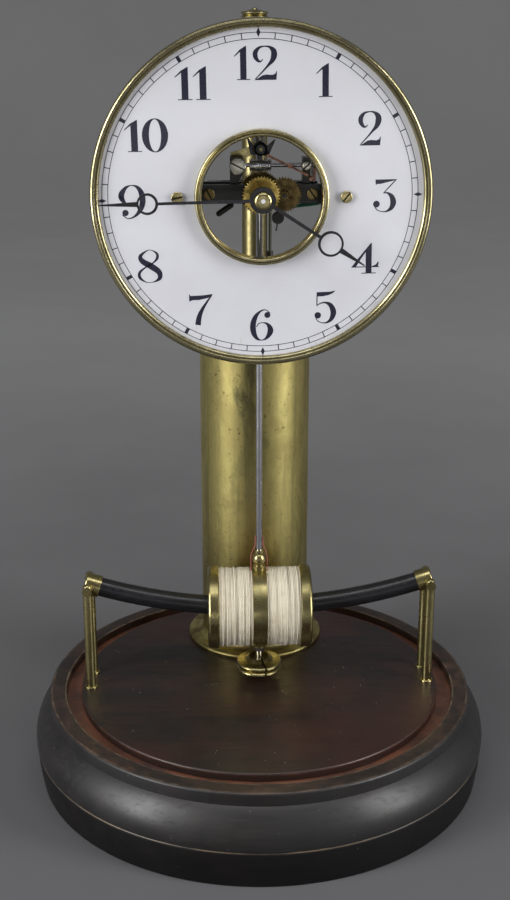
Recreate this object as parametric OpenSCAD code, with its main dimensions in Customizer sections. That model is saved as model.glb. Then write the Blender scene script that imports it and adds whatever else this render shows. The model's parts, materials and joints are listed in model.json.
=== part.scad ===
// Electromagnetic pendulum clock on a round turned base.
// A hollow brass column holds the dry cell, a thin tube carries the movement,
// and a coil on the pendulum swings along a curved bar magnet.
// Origin: centre of the underside. +Z up, the dial faces -Y.

/* [Base] */
// Radius of the swelling of the moulding, the widest place
base_r = 115.9; // [110:0.1:125]
// Height of the lower ring, up to the seam
plinth_h = 17.9; // [14:0.1:24]
// How far the lower ring stands back from the swelling
plinth_step = 2.2; // [1:0.1:6]
// How far the lower ring tapers in towards the table
plinth_taper = 1.6; // [0:0.1:4]
// Height of the floor of the glass dome's groove
groove_z = 40.8; // [38:0.1:42]
// Height of the centre disc above the table
disc_top = 45.1; // [44:0.1:50]
// Radius of the centre disc
disc_r = 90.9; // [88:0.1:94]
// Width of the groove for the glass dome
groove_w = 7.6; // [5:0.1:9]
// Width of the rim outside the groove
rim_w = 8.5; // [6:0.1:10]
// Height of the rim's top
rim_top = 44.9; // [43:0.1:50]
// Thickness of the baize under the base
baize_t = 1.2; // [0.6:0.1:2]

/* [Column] */
// Distance of the column's axis behind the base's axis
column_y = 56.1; // [52:0.1:60]
// Outer radius of the battery column
column_r = 28.45; // [26:0.05:30]
// Wall of the battery column
column_wall = 1.2; // [0.8:0.1:2]
// Height of the battery column's upper edge
column_top = 240; // [225:1:248]
// Radius of the foot's flange
foot_r = 36; // [33:0.1:40]
// Height of the foot
foot_h = 6; // [4:0.1:9]
// Height of the stepped cap above the column
cap_h = 13; // [10:0.5:18]
// Radius of the dry cell
cell_r = 24.6; // [20:0.1:25]
// Radius of the bowed contact leaf between the cell and the cap
contact_r = 11.8; // [8:0.1:14]
// Wall of the cardboard liner
liner_wall = 1.8; // [1:0.1:2.2]

/* [Upper tube] */
// Outer radius of the upper tube
tube_r = 6.35; // [5.5:0.05:7]
// Wall of the upper tube
tube_wall = 1; // [0.6:0.1:1.6]
// Height of the upper tube's edge above the suspension point
tube_rise = 13; // [11:0.5:18]
// Radius of the knob's discs
knob_r = 6.6; // [6:0.1:8]
// Height of the knob above the tube
knob_h = 8.3; // [6:0.1:12]

/* [Pendulum] */
// Height of the coil's middle above the centre disc
coil_rise = 39.9; // [39:0.1:43]
// Distance of the swing plane behind the base's axis
pendulum_y = 2.5; // [1.5:0.1:3]
// Distance from the bending point to the middle of the coil
swing_r = 268; // [262:0.5:272]
// Radius of the rod
rod_r = 1.55; // [1.3:0.05:1.8]
// Radius of the ball above the coil
ball_r = 3.5; // [3:0.1:4.5]
// Length of the coil along the magnet
coil_len = 52; // [44:0.5:58]
// Outer radius of the cotton-covered windings
winding_r = 20.2; // [18:0.1:21]
// Radius of the brass cheeks and the band
cheek_r = 20.8; // [19:0.1:21.5]
// Thickness of each brass cheek
cheek_t = 5.5; // [3:0.1:7]
// Width of the brass band in the middle
band_w = 7; // [5:0.1:9]
// Inner radius of the coil's tube
coil_bore_r = 8; // [7.2:0.1:9]
// Wall of the coil's tube
coil_wall = 0.7; // [0.5:0.1:1.2]
// Radius of the rating nut
nut_r = 11.5; // [9:0.1:13]
// Height of the rating nut
nut_h = 9; // [7:0.1:11]
// Distance of the rating nut below the coil
nut_drop = 7.4; // [5:0.1:9]
// Width of the slit in the rating nut
nut_slit = 0.9; // [0.5:0.1:1.5]
// Angle of that slit, counted from the clock's right
nut_slit_angle = -74; // [-90:1:90]
// Radius of the rating stem
stem_r = 1.6; // [1.2:0.1:2.2]

/* [Magnet] */
// Radius of the round magnet bar
magnet_r = 4.75; // [4:0.05:5.2]
// Distance of the magnet's supports from the middle
magnet_half = 84; // [80:0.5:86]
// Radius of the brass end caps
end_cap_r = 5.5; // [5.3:0.05:6.5]
// Length of the brass end caps
end_cap_len = 8; // [6:0.1:12]
// Radius of the supporting posts
post_r = 2.4; // [2:0.05:3]
// Radius of the posts' foot collars
post_foot_r = 4.2; // [3.6:0.1:4.6]
// Radius of the cross screws through the end caps
cross_screw_r = 1.2; // [0.8:0.05:1.5]

/* [Dial] */
// Distance of the dial's centre below the suspension point
dial_drop = 58.1; // [56:0.1:60]
// Distance of the dial's face in front of the base's axis
dial_front = 22.5; // [22:0.1:25]
// Outer radius of the bezel
bezel_r = 76; // [75:0.1:80]
// Width of the bezel seen from the front
bezel_w = 4; // [3:0.1:5]
// Depth of the bezel
bezel_depth = 9.5; // [7:0.1:12]
// Radius of the pillars behind the dial
dial_pillar_r = 3; // [2.5:0.1:4]
// Thickness of the enamelled dial
dial_t = 1.2; // [0.8:0.1:1.8]
// Outer radius of the ring round the centre opening
ring_r = 29.85; // [28.5:0.05:31]
// Width of that ring
ring_w = 3.1; // [2.5:0.1:4]
// How far that ring stands out of the dial
ring_t = 4.9; // [3:0.1:6]
// Distance of each dial screw from the centre
dial_screw_x = 37.5; // [36:0.1:39]
// Radius of the dial screws' heads
dial_screw_r = 2.65; // [2:0.05:3.2]

/* [Hands] */
// Length of the minute hand
minute_len = 71.5; // [66:0.5:73]
// Distance of the minute hand's ring from the centre
minute_eye = 50.3; // [45:0.1:54]
// Outer radius of the minute hand's ring
minute_eye_r = 4.7; // [4:0.1:6]
// Length of the hour hand
hour_len = 54; // [48:0.5:58]
// Distance of the hour hand's ring from the centre
hour_eye = 35.9; // [33:0.1:40]
// Outer radius of the hour hand's ring
hour_eye_r = 5.7; // [5:0.1:7]
// Radius of the hands' round bosses
hand_boss_r = 5.7; // [4.5:0.1:6.5]
// Thickness of the hands
hand_t = 0.7; // [0.5:0.05:0.9]
// Angle of the minute hand, clockwise from twelve
minute_angle = 268.7; // [0:0.1:360]
// Angle of the hour hand, clockwise from twelve
hour_angle = 122.8; // [0:0.1:360]

/* [Movement] */
// Length of the frame's front bar
bar_len = 84; // [80:1:88]
// Height of the frame's bars
bar_h = 8.5; // [7:0.1:10]
// Thickness of the frame's bars
bar_t = 2.8; // [2:0.1:3.2]
// Distance of the front bar's face in front of the base's axis
bar_front = 12; // [11.5:0.1:12.5]
// Distance from the centre to the frame's pillars
pillar_x = 23.3; // [22.5:0.1:24]
// Radius of the centre arbor
arbor_r = 1; // [0.8:0.05:1.2]
// Teeth of the worm wheel
worm_teeth = 60; // [48:4:72]
// Height of the worm above the centre arbor
worm_rise = 12.2; // [12:0.05:12.6]
// Mean radius of the worm's thread
worm_r = 2.8; // [2.6:0.05:3]
// Turns of the worm's thread
worm_turns = 10; // [6:2:12]
// Teeth of the ratchet wheel
ratchet_teeth = 60; // [40:4:80]
// Radius of the ratchet wheel
ratchet_r = 8.4; // [7.5:0.1:8.6]
// Teeth of the cannon pinion
cannon_teeth = 12; // [12:1:12]
// Distance from the centre to the minute wheel's stud
stud_x = 10.29; // [10:0.01:10.6]
// Height of the contact fork's stud above the centre arbor
fork_rise = 19.6; // [19.4:0.1:20.5]
// Height of the contact pin above the fork's stud
pin_rise = 3.9; // [3.6:0.1:4.6]

/* [Screws] */
// Thickness of the screws' heads
head_t = 1.5; // [1:0.1:2]
// Depth of the slots in the heads
slot_depth = 0.5; // [0.3:0.05:0.8]
// Radius of the frame's screws
frame_screw_r = 1; // [0.8:0.05:1.3]
// Radius of the frame's screw heads
frame_head_r = 2.6; // [2:0.1:3]
// Radius of the dial's screws and of the suspension screw
dial_bolt_r = 1.2; // [1:0.05:1.5]
// Radius of the screw that holds the frame to the upper tube
tube_screw_r = 1.5; // [1.2:0.05:2]

/* [Fits] */
// Radial clearance of running fits
run_gap = 0.05; // [0.02:0.01:0.09]
// Clearance between pieces that are fixed to each other
seat_gap = 0.03; // [0.01:0.01:0.06]
// Clearance of the curved magnet in its straight end caps
cap_gap = 0.12; // [0.08:0.01:0.2]

/* [Hidden] */
$fn = 64;
fine = 128;
tiny = 0.01;

groove_r = disc_r + groove_w;
rim_r = groove_r + rim_w;
plinth_r = base_r - plinth_step;
baize_r = plinth_r - plinth_taper - 6;
foot_floor = disc_top + 2;
column_in_r = column_r - column_wall;
cap_spigot_h = 6;
cap_top = column_top + cap_h;
terminal_h = 8;
terminal_top = column_top - cap_spigot_h - 2 * contact_r;
cell_h = terminal_top - terminal_h - 0.3 - foot_floor;

arc_z = disc_top + coil_rise;
suspension_z = arc_z + swing_r;
tube_top = suspension_z + tube_rise;
dial_z = suspension_z - dial_drop;
magnet_angle = asin(magnet_half / swing_r);
magnet_end_z = suspension_z - swing_r * cos(magnet_angle);
post_y = end_cap_r + post_r + seat_gap;
post_top = magnet_end_z + 1.5;

sleeve_r = coil_bore_r + coil_wall;
winding_w = (coil_len - band_w - 2 * cheek_t) / 2;
band_boss_r = 3;
band_boss_top = arc_z + cheek_r + 2;
band_boss_foot = arc_z - cheek_r - 1.8;
ball_z = band_boss_top + ball_r;
nut_top = arc_z - cheek_r - nut_drop + 0.3;
nut_foot = nut_top - nut_h;
stem_foot = nut_foot - 1;

strip_t = 0.25;
strip_w = 5;
strip_up = 3.6;
chop_h = 8;
chop_top = suspension_z - 2.6;
arm_z = suspension_z - 4;
arm_h = 8;
head_w = 6.5;
head_foot = suspension_z + 1.6;
head_top = suspension_z + 8;
strip_slot = 1.1;
yoke_wall = 4;

dial_r = bezel_r - 1;
dial_y = -dial_front;
hole_r = ring_r - ring_w + 0.9;
bar_y = -bar_front;
bar_foot = dial_z - bar_h / 2;
bar_back = bar_y + bar_t;
rear_bar_y = pendulum_y - rod_r - 0.55 - bar_t;
between = rear_bar_y - bar_back;
yoke_y = rear_bar_y + bar_t;
upright_top = dial_z + worm_rise + 3.5;
worm_y = bar_back + between / 2 - 0.2;
worm_z = dial_z + worm_rise;
worm_wheel_r = worm_rise - worm_r;
worm_pitch = 2 * PI * worm_wheel_r / worm_teeth;
worm_len = worm_turns * worm_pitch;
worm_depth = 0.45;
left_upright = [-13.7, -8];
right_upright = [19, 22.5];
ratchet_x = right_upright[1] + 0.9;
ratchet_t = 1;
arbor_end_x = ratchet_x + ratchet_t + 0.9;

fork_z = dial_z + fork_rise;
pin_z = fork_z + pin_rise;
fork_y = pendulum_y - rod_r - 5.95;
fork_t = 1.2;
cock_t = 1.4;
fork_pipe_front = fork_y - 5.8;
fork_pipe_r = 2;
fork_stud_r = 0.8;

lead_r = 0.85;
sleeve_wall = 0.65;
lead_x = tube_r + lead_r + sleeve_wall + seat_gap;

stud_r = 0.8;
minute_teeth = 36;
leaf_teeth = 9;
hour_teeth = 36;
cannon_r = stud_x * cannon_teeth / (cannon_teeth + minute_teeth);
minute_wheel_r = stud_x - cannon_r;
leaf_r = stud_x * leaf_teeth / (leaf_teeth + hour_teeth);
hour_wheel_r = stud_x - leaf_r;
pipe_r = 1.75;
hour_pipe_r = 2.6;
minute_wheel_y = bar_y - 2.4;
hour_wheel_y = bar_y - 5;
hour_hand_y = dial_y - ring_t - 3.8;
minute_hand_y = hour_hand_y - 2.4;
nut_front_y = minute_hand_y - 2.6;

// Points of an arc from angle a0 to angle a1 round the point c
function arc_points(c, r, a0, a1, steps = 8) =
    [for (i = [0:steps]) c + r * [cos(a0 + (a1 - a0) * i / steps), sin(a0 + (a1 - a0) * i / steps)]];

// Outline of a wheel: share is half a tooth's width at the pitch circle, as a part of the pitch
function wheel_points(teeth, r, add, ded, phase = 0, share = 0.2, tip = 0.07, root = 0.27) =
    [for (i = [0:teeth - 1]) for (k = [[-root, r - ded], [-share, r], [-tip, r + add],
        [tip, r + add], [share, r], [root, r - ded]])
        let (a = phase + (i + k[0]) * 360 / teeth) k[1] * [cos(a), sin(a)]];

// Saw teeth of a ratchet wheel
function ratchet_points(teeth, r, depth) =
    [for (i = [0:teeth - 1]) for (k = [[0, r], [0.12, r - depth]])
        let (a = (i + k[0]) * 360 / teeth) k[1] * [cos(a), sin(a)]];

// A path with its corners cut
function softened(path) = [path[0], for (i = [0:len(path) - 2])
    each [path[i] * 0.75 + path[i + 1] * 0.25, path[i] * 0.25 + path[i + 1] * 0.75], path[len(path) - 1]];

// Eight corners of a ring round the point p, square to the direction d
function ring_round(p, d, r) = let (u = cross(d, [1, 1, 1]), v = cross(u, d))
    [for (k = [0:7]) p + r * (u / norm(u) * cos(45 * k) + v / norm(v) * sin(45 * k))];

// A wire of eight sides along a path
module swept(path, r) {
    last = len(path) - 1;
    points = [for (i = [0:last])
        each ring_round(path[i], path[min(i + 1, last)] - path[max(i - 1, 0)], r)];
    sides = [for (i = [0:last - 1], k = [0:7]) let (a = 8 * i + k, b = 8 * i + (k + 1) % 8)
        each [[a, b, b + 8], [a, b + 8, a + 8]]];
    polyhedron(points, concat([[for (k = [7:-1:0]) k]], [[for (k = [0:7]) 8 * last + k]], sides));
}

module ring(r_out, r_in, h) {
    difference() {
        cylinder(r = r_out, h = h);
        translate([0, 0, -1]) cylinder(r = r_in, h = h + 2);
    }
}

// A flat outline in X and Z, standing between y and y + t
module plate(y, t) {
    translate([0, y + t, 0]) rotate([90, 0, 0]) linear_extrude(t) children();
}

// A round bar along +Y
module bar_along_y(x, z, y0, y1, r) {
    translate([x, y0, z]) rotate([-90, 0, 0]) cylinder(r = r, h = y1 - y0);
}

// A round bar along +X
module bar_along_x(y, z, x0, x1, r) {
    translate([x0, y, z]) rotate([0, 90, 0]) cylinder(r = r, h = x1 - x0);
}

// A wheel on the centre arbor's axis or beside it
module wheel(x, y, t, bore, points) {
    translate([x, 0, dial_z]) plate(y, t) difference() {
        polygon(points);
        circle(r = bore);
    }
}

// A slotted screw along Y with its head in front
module screw_along_y(x, z, head_y, seat_y, end_y, head_r, shank_r, slot_angle) {
    difference() {
        bar_along_y(x, z, head_y, seat_y, head_r);
        translate([x, head_y, z]) rotate([0, slot_angle, 0])
            cube([3 * head_r, 2 * slot_depth, head_r * 0.3], center = true);
    }
    bar_along_y(x, z, seat_y - tiny, end_y, shank_r);
}

module base_baize() color([0.16, 0.2, 0.14])
    cylinder(r = baize_r, h = baize_t, $fn = fine);

module base_plinth() color([0.14, 0.09, 0.07])
    difference() {
        rotate_extrude($fn = fine) polygon(concat(
            [[0, 0], [plinth_r - plinth_taper - 1.2, 0]],
            arc_points([plinth_r - plinth_taper - 1.2, 1.2], 1.2, -90, 0, 4),
            [[plinth_r - 0.3, plinth_h - 2]],
            arc_points([plinth_r - 1.2, plinth_h - 1.2], 1.2, 0, 90, 4),
            [[0, plinth_h]]));
        translate([0, 0, -1]) cylinder(r = baize_r + seat_gap, h = baize_t + 1, $fn = fine);
    }

// The swelling is an arc between the seam and the cove under the rim
module base_moulding() color([0.13, 0.08, 0.06]) {
    swell_h = groove_z - plinth_h;
    swell_r = swell_h * 0.56;
    rotate_extrude($fn = fine) polygon(concat(
        [[0, plinth_h], [plinth_r - 1.6, plinth_h], [plinth_r - 1.6, plinth_h + 0.7]],
        arc_points([base_r - swell_r, plinth_h + swell_h * 0.5], swell_r, -62, 58, 14),
        [[rim_r + 0.6, groove_z - 0.9], [rim_r + 0.2, groove_z], [0, groove_z]]));
}

module dome_rim() color([0.13, 0.08, 0.06]) {
    bead = (rim_top - groove_z) / 2;
    rotate_extrude($fn = fine) polygon(concat(
        [[groove_r, groove_z], [rim_r - 0.9, groove_z]],
        arc_points([rim_r - bead + 0.25, groove_z + bead], bead - 0.25, -75, 75, 8),
        [[rim_r - 2.6, rim_top - 0.35], [rim_r - 3.2, rim_top], [groove_r + 0.8, rim_top],
            [groove_r, rim_top - 0.8]]));
}

module base_disc() color([0.27, 0.13, 0.09])
    rotate_extrude($fn = fine) polygon(concat(
        [[0, groove_z], [disc_r - 0.5, groove_z], [disc_r, groove_z + 0.5]],
        arc_points([disc_r - 1, disc_top - 1], 1, 0, 90, 4),
        [[0, disc_top]]));

module column_foot() color([0.62, 0.53, 0.28])
    translate([0, column_y, 0]) rotate_extrude($fn = fine) polygon(concat(
        [[0, disc_top], [foot_r - 0.6, disc_top]],
        arc_points([foot_r - 1, disc_top + 1.3], 1.1, -60, 70, 6),
        [[foot_r - 2.6, disc_top + 3]],
        arc_points([column_r + foot_h / 2 + 0.4, foot_h + disc_top], foot_h / 2, -90, -170, 6),
        [[column_r + seat_gap, foot_h + disc_top], [column_r + seat_gap, foot_floor], [0, foot_floor]]));

module column_tube() color([0.6, 0.51, 0.27])
    translate([0, column_y, foot_floor])
        ring(column_r, column_in_r, column_top - foot_floor, $fn = fine);

module column_cap() color([0.6, 0.51, 0.27]) {
    flange_r = column_r + 0.9;
    neck_r = tube_r + 3.2;
    translate([0, column_y, 0]) difference() {
        rotate_extrude($fn = fine) polygon(concat(
            [[0, column_top - cap_spigot_h], [column_in_r - seat_gap, column_top - cap_spigot_h],
                [column_in_r - seat_gap, column_top]],
            arc_points([flange_r - 1.2, column_top + 1.2], 1.2, -90, 90, 6),
            [[flange_r - 3, column_top + 2.4], [flange_r - 3, column_top + 4]],
            arc_points([flange_r - 3, cap_top - 2], cap_h - 6, -90, -178, 8),
            [[neck_r, cap_top - 2], [neck_r, cap_top], [0, cap_top]]));
        translate([0, 0, column_top]) cylinder(r = tube_r + seat_gap, h = cap_h + 1);
        translate([0, 0, column_top - cap_spigot_h - 1]) cylinder(r = 3, h = cap_spigot_h + 2);
    }
}

module battery_liner() color([0.55, 0.45, 0.32])
    translate([0, column_y, foot_floor])
        ring(column_in_r - 0.1, column_in_r - 0.1 - liner_wall, cell_h + 6);

module battery_cell() color([0.25, 0.28, 0.36])
    translate([0, column_y, foot_floor]) rotate_extrude() polygon(concat(
        [[0, 0], [cell_r, 0]],
        arc_points([cell_r - 2, cell_h - 1.7], 2, 0, 90, 4),
        [[5, cell_h + 0.3], [5, cell_h - 1], [0, cell_h - 1]]));

module battery_terminal() color([0.7, 0.6, 0.3])
    translate([0, column_y, foot_floor + cell_h - 1]) {
        cylinder(r = 4.6, h = 3);
        cylinder(r = 2.2, h = terminal_h + 1.3 - 3);
        translate([0, 0, terminal_h + 1.3 - 4]) cylinder(r = 4, h = 4);
    }

// A bowed leaf between the terminal and the cap
module contact_spring() color([0.72, 0.62, 0.32])
    translate([0, column_y, terminal_top + contact_r]) plate(-4, 8) difference() {
        circle(r = contact_r);
        circle(r = contact_r - 0.5);
        translate([0, -2]) square([2 * contact_r, 4]);
    }

module upper_tube() color([0.64, 0.55, 0.3])
    translate([0, column_y, column_top]) ring(tube_r, tube_r - tube_wall, tube_top - column_top);

module top_knob() color([0.66, 0.57, 0.31])
    translate([0, column_y, tube_top]) rotate_extrude() polygon(concat(
        [[0, -8], [tube_r - tube_wall - seat_gap, -8], [tube_r - tube_wall - seat_gap, 0],
            [knob_r - 0.8, 0], [knob_r - 0.2, knob_h * 0.14]],
        [[knob_r - 0.2, knob_h * 0.28], [knob_r - 1, knob_h * 0.34]],
        arc_points([knob_r - 0.6, knob_h * 0.47], 0.6, -80, 80, 4),
        [[knob_r - 0.9, knob_h * 0.58]],
        arc_points([knob_r - 0.7, knob_h * 0.7], 0.7, -80, 80, 4),
        [[knob_r - 1.8, knob_h * 0.8]],
        arc_points([0, knob_h * 0.8], knob_h * 0.2, 30, 90, 4)));

// The magnet is bent round the suspension point, so the coil keeps its distance all the way
module magnet_bar() color([0.06, 0.06, 0.065])
    translate([0, pendulum_y, suspension_z]) rotate([90, 0, 0])
        rotate([0, 0, -90 - magnet_angle]) rotate_extrude(angle = 2 * magnet_angle, $fn = fine)
            translate([swing_r, 0]) circle(r = magnet_r, $fn = 32);

module at_magnet_end(side) {
    translate([0, pendulum_y, suspension_z]) rotate([0, -side * magnet_angle, 0])
        translate([0, 0, -swing_r]) rotate([0, side * 90, 0]) children();
}

module magnet_end_caps() color([0.62, 0.53, 0.28])
    for (side = [-1, 1]) difference() {
        at_magnet_end(side) rotate_extrude() polygon(concat(
            [[0, seat_gap], [magnet_r + cap_gap, seat_gap],
                [magnet_r + cap_gap, -end_cap_len / 2], [end_cap_r, -end_cap_len / 2]],
            arc_points([end_cap_r - 1, end_cap_len / 2 - 1], 1, 0, 90, 4),
            [[0, end_cap_len / 2]]));
        translate([0, pendulum_y, 0]) bar_along_y(side * cross_x(), cross_z(),
            -end_cap_r - 1, end_cap_r + 1, cross_screw_r + seat_gap);
    }

// The cross screw runs through the solid outer half of the end cap
function cross_x() = magnet_half + end_cap_len / 4 * cos(magnet_angle);
function cross_z() = magnet_end_z + end_cap_len / 4 * sin(magnet_angle);

module magnet_posts() color([0.62, 0.53, 0.28])
    for (side = [-1, 1], face = [-1, 1]) difference() {
        translate([side * cross_x(), pendulum_y + face * post_y, 0]) rotate_extrude() polygon(concat(
            [[0, disc_top], [post_foot_r, disc_top], [post_foot_r, disc_top + 1.6],
                [post_foot_r - 0.8, disc_top + 2.4], [post_r + 0.5, disc_top + 2.8],
                [post_r, disc_top + 3.6]],
            arc_points([post_r - 0.8, post_top + 2.4], 0.8, 0, 90, 3),
            [[0, post_top + 3.2]]));
        translate([0, pendulum_y, 0]) bar_along_y(side * cross_x(), cross_z(),
            -post_y - post_r - 1, post_y + post_r + 1, cross_screw_r + seat_gap);
    }

module magnet_screws() color([0.66, 0.57, 0.31])
    for (side = [-1, 1]) translate([0, pendulum_y, 0])
        screw_along_y(side * cross_x(), cross_z(), -post_y - post_r - head_t, -post_y - post_r,
            post_y + post_r + head_t, 1.9 * cross_screw_r, cross_screw_r, 35 * side);

module frame_front_bar() color([0.05, 0.05, 0.055])
    difference() {
        union() {
            translate([-bar_len / 2, bar_y, bar_foot]) cube([bar_len, bar_t, bar_h]);
            bar_along_y(stud_x, dial_z, hour_wheel_y - 2.2, bar_y + tiny, stud_r);
            bar_along_y(stud_x, dial_z, bar_y - 1.1, bar_y + tiny, stud_r + 1);
        }
        bar_along_y(0, dial_z, bar_y - 1, bar_back + 1, arbor_r + run_gap);
        for (side = [-1, 1]) {
            bar_along_y(side * pillar_x, dial_z, bar_y - 1, bar_back + 1, frame_screw_r + seat_gap);
            bar_along_y(side * dial_screw_x, dial_z, bar_y - 1, bar_back + 1, dial_bolt_r + seat_gap);
        }
    }

// The rear bar carries the pillars, and the two uprights that hold the worm's pivots
module frame_rear_bar() color([0.05, 0.05, 0.055])
    difference() {
        union() {
            translate([-pillar_x - 3, rear_bar_y, bar_foot]) cube([2 * pillar_x + 6, bar_t, bar_h]);
            for (side = [-1, 1])
                bar_along_y(side * pillar_x, dial_z, bar_back, rear_bar_y + tiny, 3);
            plate(bar_back, between) {
                polygon([[left_upright[0], bar_foot], [left_upright[0] + 3.4, bar_foot],
                    [left_upright[0] + 3.4, dial_z + 4.6], [left_upright[1], dial_z + 8.3],
                    [left_upright[1], upright_top], [left_upright[0], upright_top]]);
                translate([right_upright[0], bar_foot])
                    square([right_upright[1] - right_upright[0], upright_top - bar_foot]);
            }
        }
        bar_along_y(0, dial_z, rear_bar_y - 1, rear_bar_y + bar_t + 1, arbor_r + run_gap);
        for (side = [-1, 1])
            bar_along_y(side * pillar_x, dial_z, bar_back - 1, yoke_y + 1, frame_screw_r + seat_gap);
        bar_along_x(worm_y, worm_z, left_upright[1] - 2.2, right_upright[1] + 1, arbor_r + run_gap);
    }

// The yoke passes the pendulum on both sides and clamps round the upper tube
module frame_yoke() color([0.05, 0.05, 0.055]) {
    inner_x = pillar_x - 6.3;
    difference() {
        translate([0, 0, bar_foot + 0.25]) linear_extrude(bar_h - 0.5) difference() {
            union() {
                polygon([[-pillar_x, yoke_y], [pillar_x, yoke_y], [pillar_x, column_y - 22],
                    [9, column_y + 3], [-9, column_y + 3], [-pillar_x, column_y - 22]]);
                translate([0, column_y]) circle(r = tube_r + yoke_wall);
            }
            polygon([[-inner_x, yoke_y - 1], [inner_x, yoke_y - 1], [inner_x, column_y - 24],
                [7, column_y - 10.5], [-7, column_y - 10.5], [-inner_x, column_y - 24]]);
            translate([0, column_y]) circle(r = tube_r + seat_gap);
        }
        for (side = [-1, 1])
            bar_along_y(side * pillar_x, dial_z, yoke_y - 1, yoke_y + 5, frame_screw_r + seat_gap);
        bar_along_y(0, dial_z, column_y, column_y + tube_r + 5, tube_screw_r + seat_gap);
    }
}

module frame_screws() color([0.66, 0.57, 0.31]) {
    for (side = [-1, 1])
        screw_along_y(side * pillar_x, dial_z, bar_y - head_t, bar_y, yoke_y + 4, frame_head_r,
            frame_screw_r, 60);
    tube_back = column_y + tube_r;
    mirror([0, 1, 0])
        screw_along_y(0, dial_z, -tube_back - yoke_wall - head_t, -tube_back - yoke_wall, -tube_back,
            1.9 * tube_screw_r, tube_screw_r, 20);
}

// Large polished screws that cover the pivots of the worm's arbor
module pivot_screws() color([0.75, 0.73, 0.66]) {
    screw_along_y(left_upright[0] + 3.4, worm_z, bar_back - 2, bar_back, bar_back, 3.75, 1, 28);
    screw_along_y(right_upright[0] + 1.75, worm_z, bar_back - 1.6, bar_back, bar_back, 2, 1, -40);
}

module suspension_arm() color([0.6, 0.51, 0.27])
    difference() {
        union() {
            translate([0, column_y, arm_z]) cylinder(r = tube_r + 3.2, h = arm_h + 2);
            translate([-3.5, pendulum_y + strip_w / 2 + 1.5, arm_z])
                cube([7, column_y - pendulum_y - strip_w / 2 - 1.5, arm_h]);
            translate([strip_slot / 2, pendulum_y - 4, head_foot])
                cube([head_w - strip_slot / 2, 8.5, head_top - head_foot]);
        }
        translate([0, column_y, arm_z - 1]) cylinder(r = tube_r + seat_gap, h = arm_h + 4);
        bar_along_x(pendulum_y, head_top - 2, 0, head_w + 1, dial_bolt_r + seat_gap);
    }

module suspension_clamp() color([0.62, 0.53, 0.28])
    difference() {
        translate([-strip_slot / 2 - 3, pendulum_y - 4, head_foot]) cube([3, 8, head_top - head_foot]);
        bar_along_x(pendulum_y, head_top - 2, -strip_slot / 2 - 4, 1, dial_bolt_r + seat_gap);
    }

module suspension_screw() color([0.7, 0.68, 0.62]) {
    clamp_x = -strip_slot / 2 - 3;
    bar_along_x(pendulum_y, head_top - 2, clamp_x - head_t, clamp_x, 1.8 * dial_bolt_r);
    bar_along_x(pendulum_y, head_top - 2, clamp_x - tiny, head_w, dial_bolt_r);
}

// The fork turns on a stud that stands forward from this cock
module fork_cock() color([0.62, 0.6, 0.55]) {
    plate(rear_bar_y, cock_t) {
        polygon([[left_upright[0] + 0.4, worm_z - 4], [left_upright[0] + 0.4, upright_top + 1.6],
            [-1.2, fork_z + 1.4], [1.2, fork_z - 1.6], [left_upright[1] - 0.4, upright_top - 1.4],
            [left_upright[1] - 0.4, worm_z - 4]]);
        translate([0, fork_z]) circle(r = 2);
    }
    bar_along_y(0, fork_z, fork_pipe_front - 0.7, rear_bar_y + tiny, fork_stud_r);
}

// A bent leaf that keeps the ratchet wheel from turning back
module retaining_click() color([0.7, 0.7, 0.68]) {
    leaf_x = right_upright[1] - 1.4;
    leaf_top = worm_z + ratchet_r + 1;
    translate([leaf_x, worm_y - 1, upright_top]) cube([1.4, 2, leaf_top - upright_top]);
    translate([leaf_x, worm_y - 1, leaf_top - 0.4]) cube([ratchet_x + ratchet_t - leaf_x, 2, 0.4]);
    translate([ratchet_x, worm_y - 1, leaf_top - 0.85]) cube([ratchet_t, 0.6, 0.5]);
}

module dial_plate() color([0.9, 0.91, 0.93])
    translate([0, 0, dial_z]) plate(dial_y, dial_t) difference() {
        circle(r = dial_r, $fn = fine);
        circle(r = hole_r, $fn = fine);
        for (side = [-1, 1]) translate([side * dial_screw_x, 0]) circle(r = dial_bolt_r + seat_gap);
    }

module about_dial(y) {
    translate([0, y, dial_z]) rotate([90, 0, 0]) children();
}

// The bezel grips the dial's edge between its front lip and a turned-in rear lip
module dial_bezel() color([0.62, 0.53, 0.28]) {
    lip = bezel_r - bezel_w;
    about_dial(dial_y) rotate_extrude($fn = fine) polygon(concat(
        [[lip, seat_gap], [lip, 1.1]],
        arc_points([lip + 1, 1.5], 0.8, 170, 60, 4),
        arc_points([bezel_r - 1.6, 1.7], 1.5, 110, 0, 6),
        [[bezel_r, 3 - bezel_depth], [bezel_r - 0.5, 2.6 - bezel_depth],
            [bezel_r - 0.8, 3 - bezel_depth], [bezel_r - 0.8, -dial_t - 1.2],
            [lip, -dial_t - 1.2], [lip, -dial_t - seat_gap],
            [dial_r + seat_gap, -dial_t - seat_gap], [dial_r + seat_gap, seat_gap]]));
}

module dial_centre_ring() color([0.62, 0.53, 0.28])
    about_dial(dial_y) rotate_extrude($fn = fine) polygon(concat(
        [[ring_r, seat_gap]],
        arc_points([ring_r - 0.9, ring_t * 0.5], 0.9, 0, 100, 4),
        [[ring_r - 1.5, ring_t * 0.62]],
        arc_points([ring_r - ring_w + 0.9, ring_t - 0.9], 0.9, 60, 180, 6),
        [[ring_r - ring_w, -dial_t - 0.8], [hole_r - seat_gap, -dial_t - 0.8],
            [hole_r - seat_gap, seat_gap]]));

module dial_pillars() color([0.6, 0.51, 0.27])
    for (side = [-1, 1]) translate([side * dial_screw_x, 0, dial_z])
        plate(dial_y + dial_t, bar_y - dial_y - dial_t) difference() {
            circle(r = dial_pillar_r);
            circle(r = dial_bolt_r + seat_gap);
        }

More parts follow.
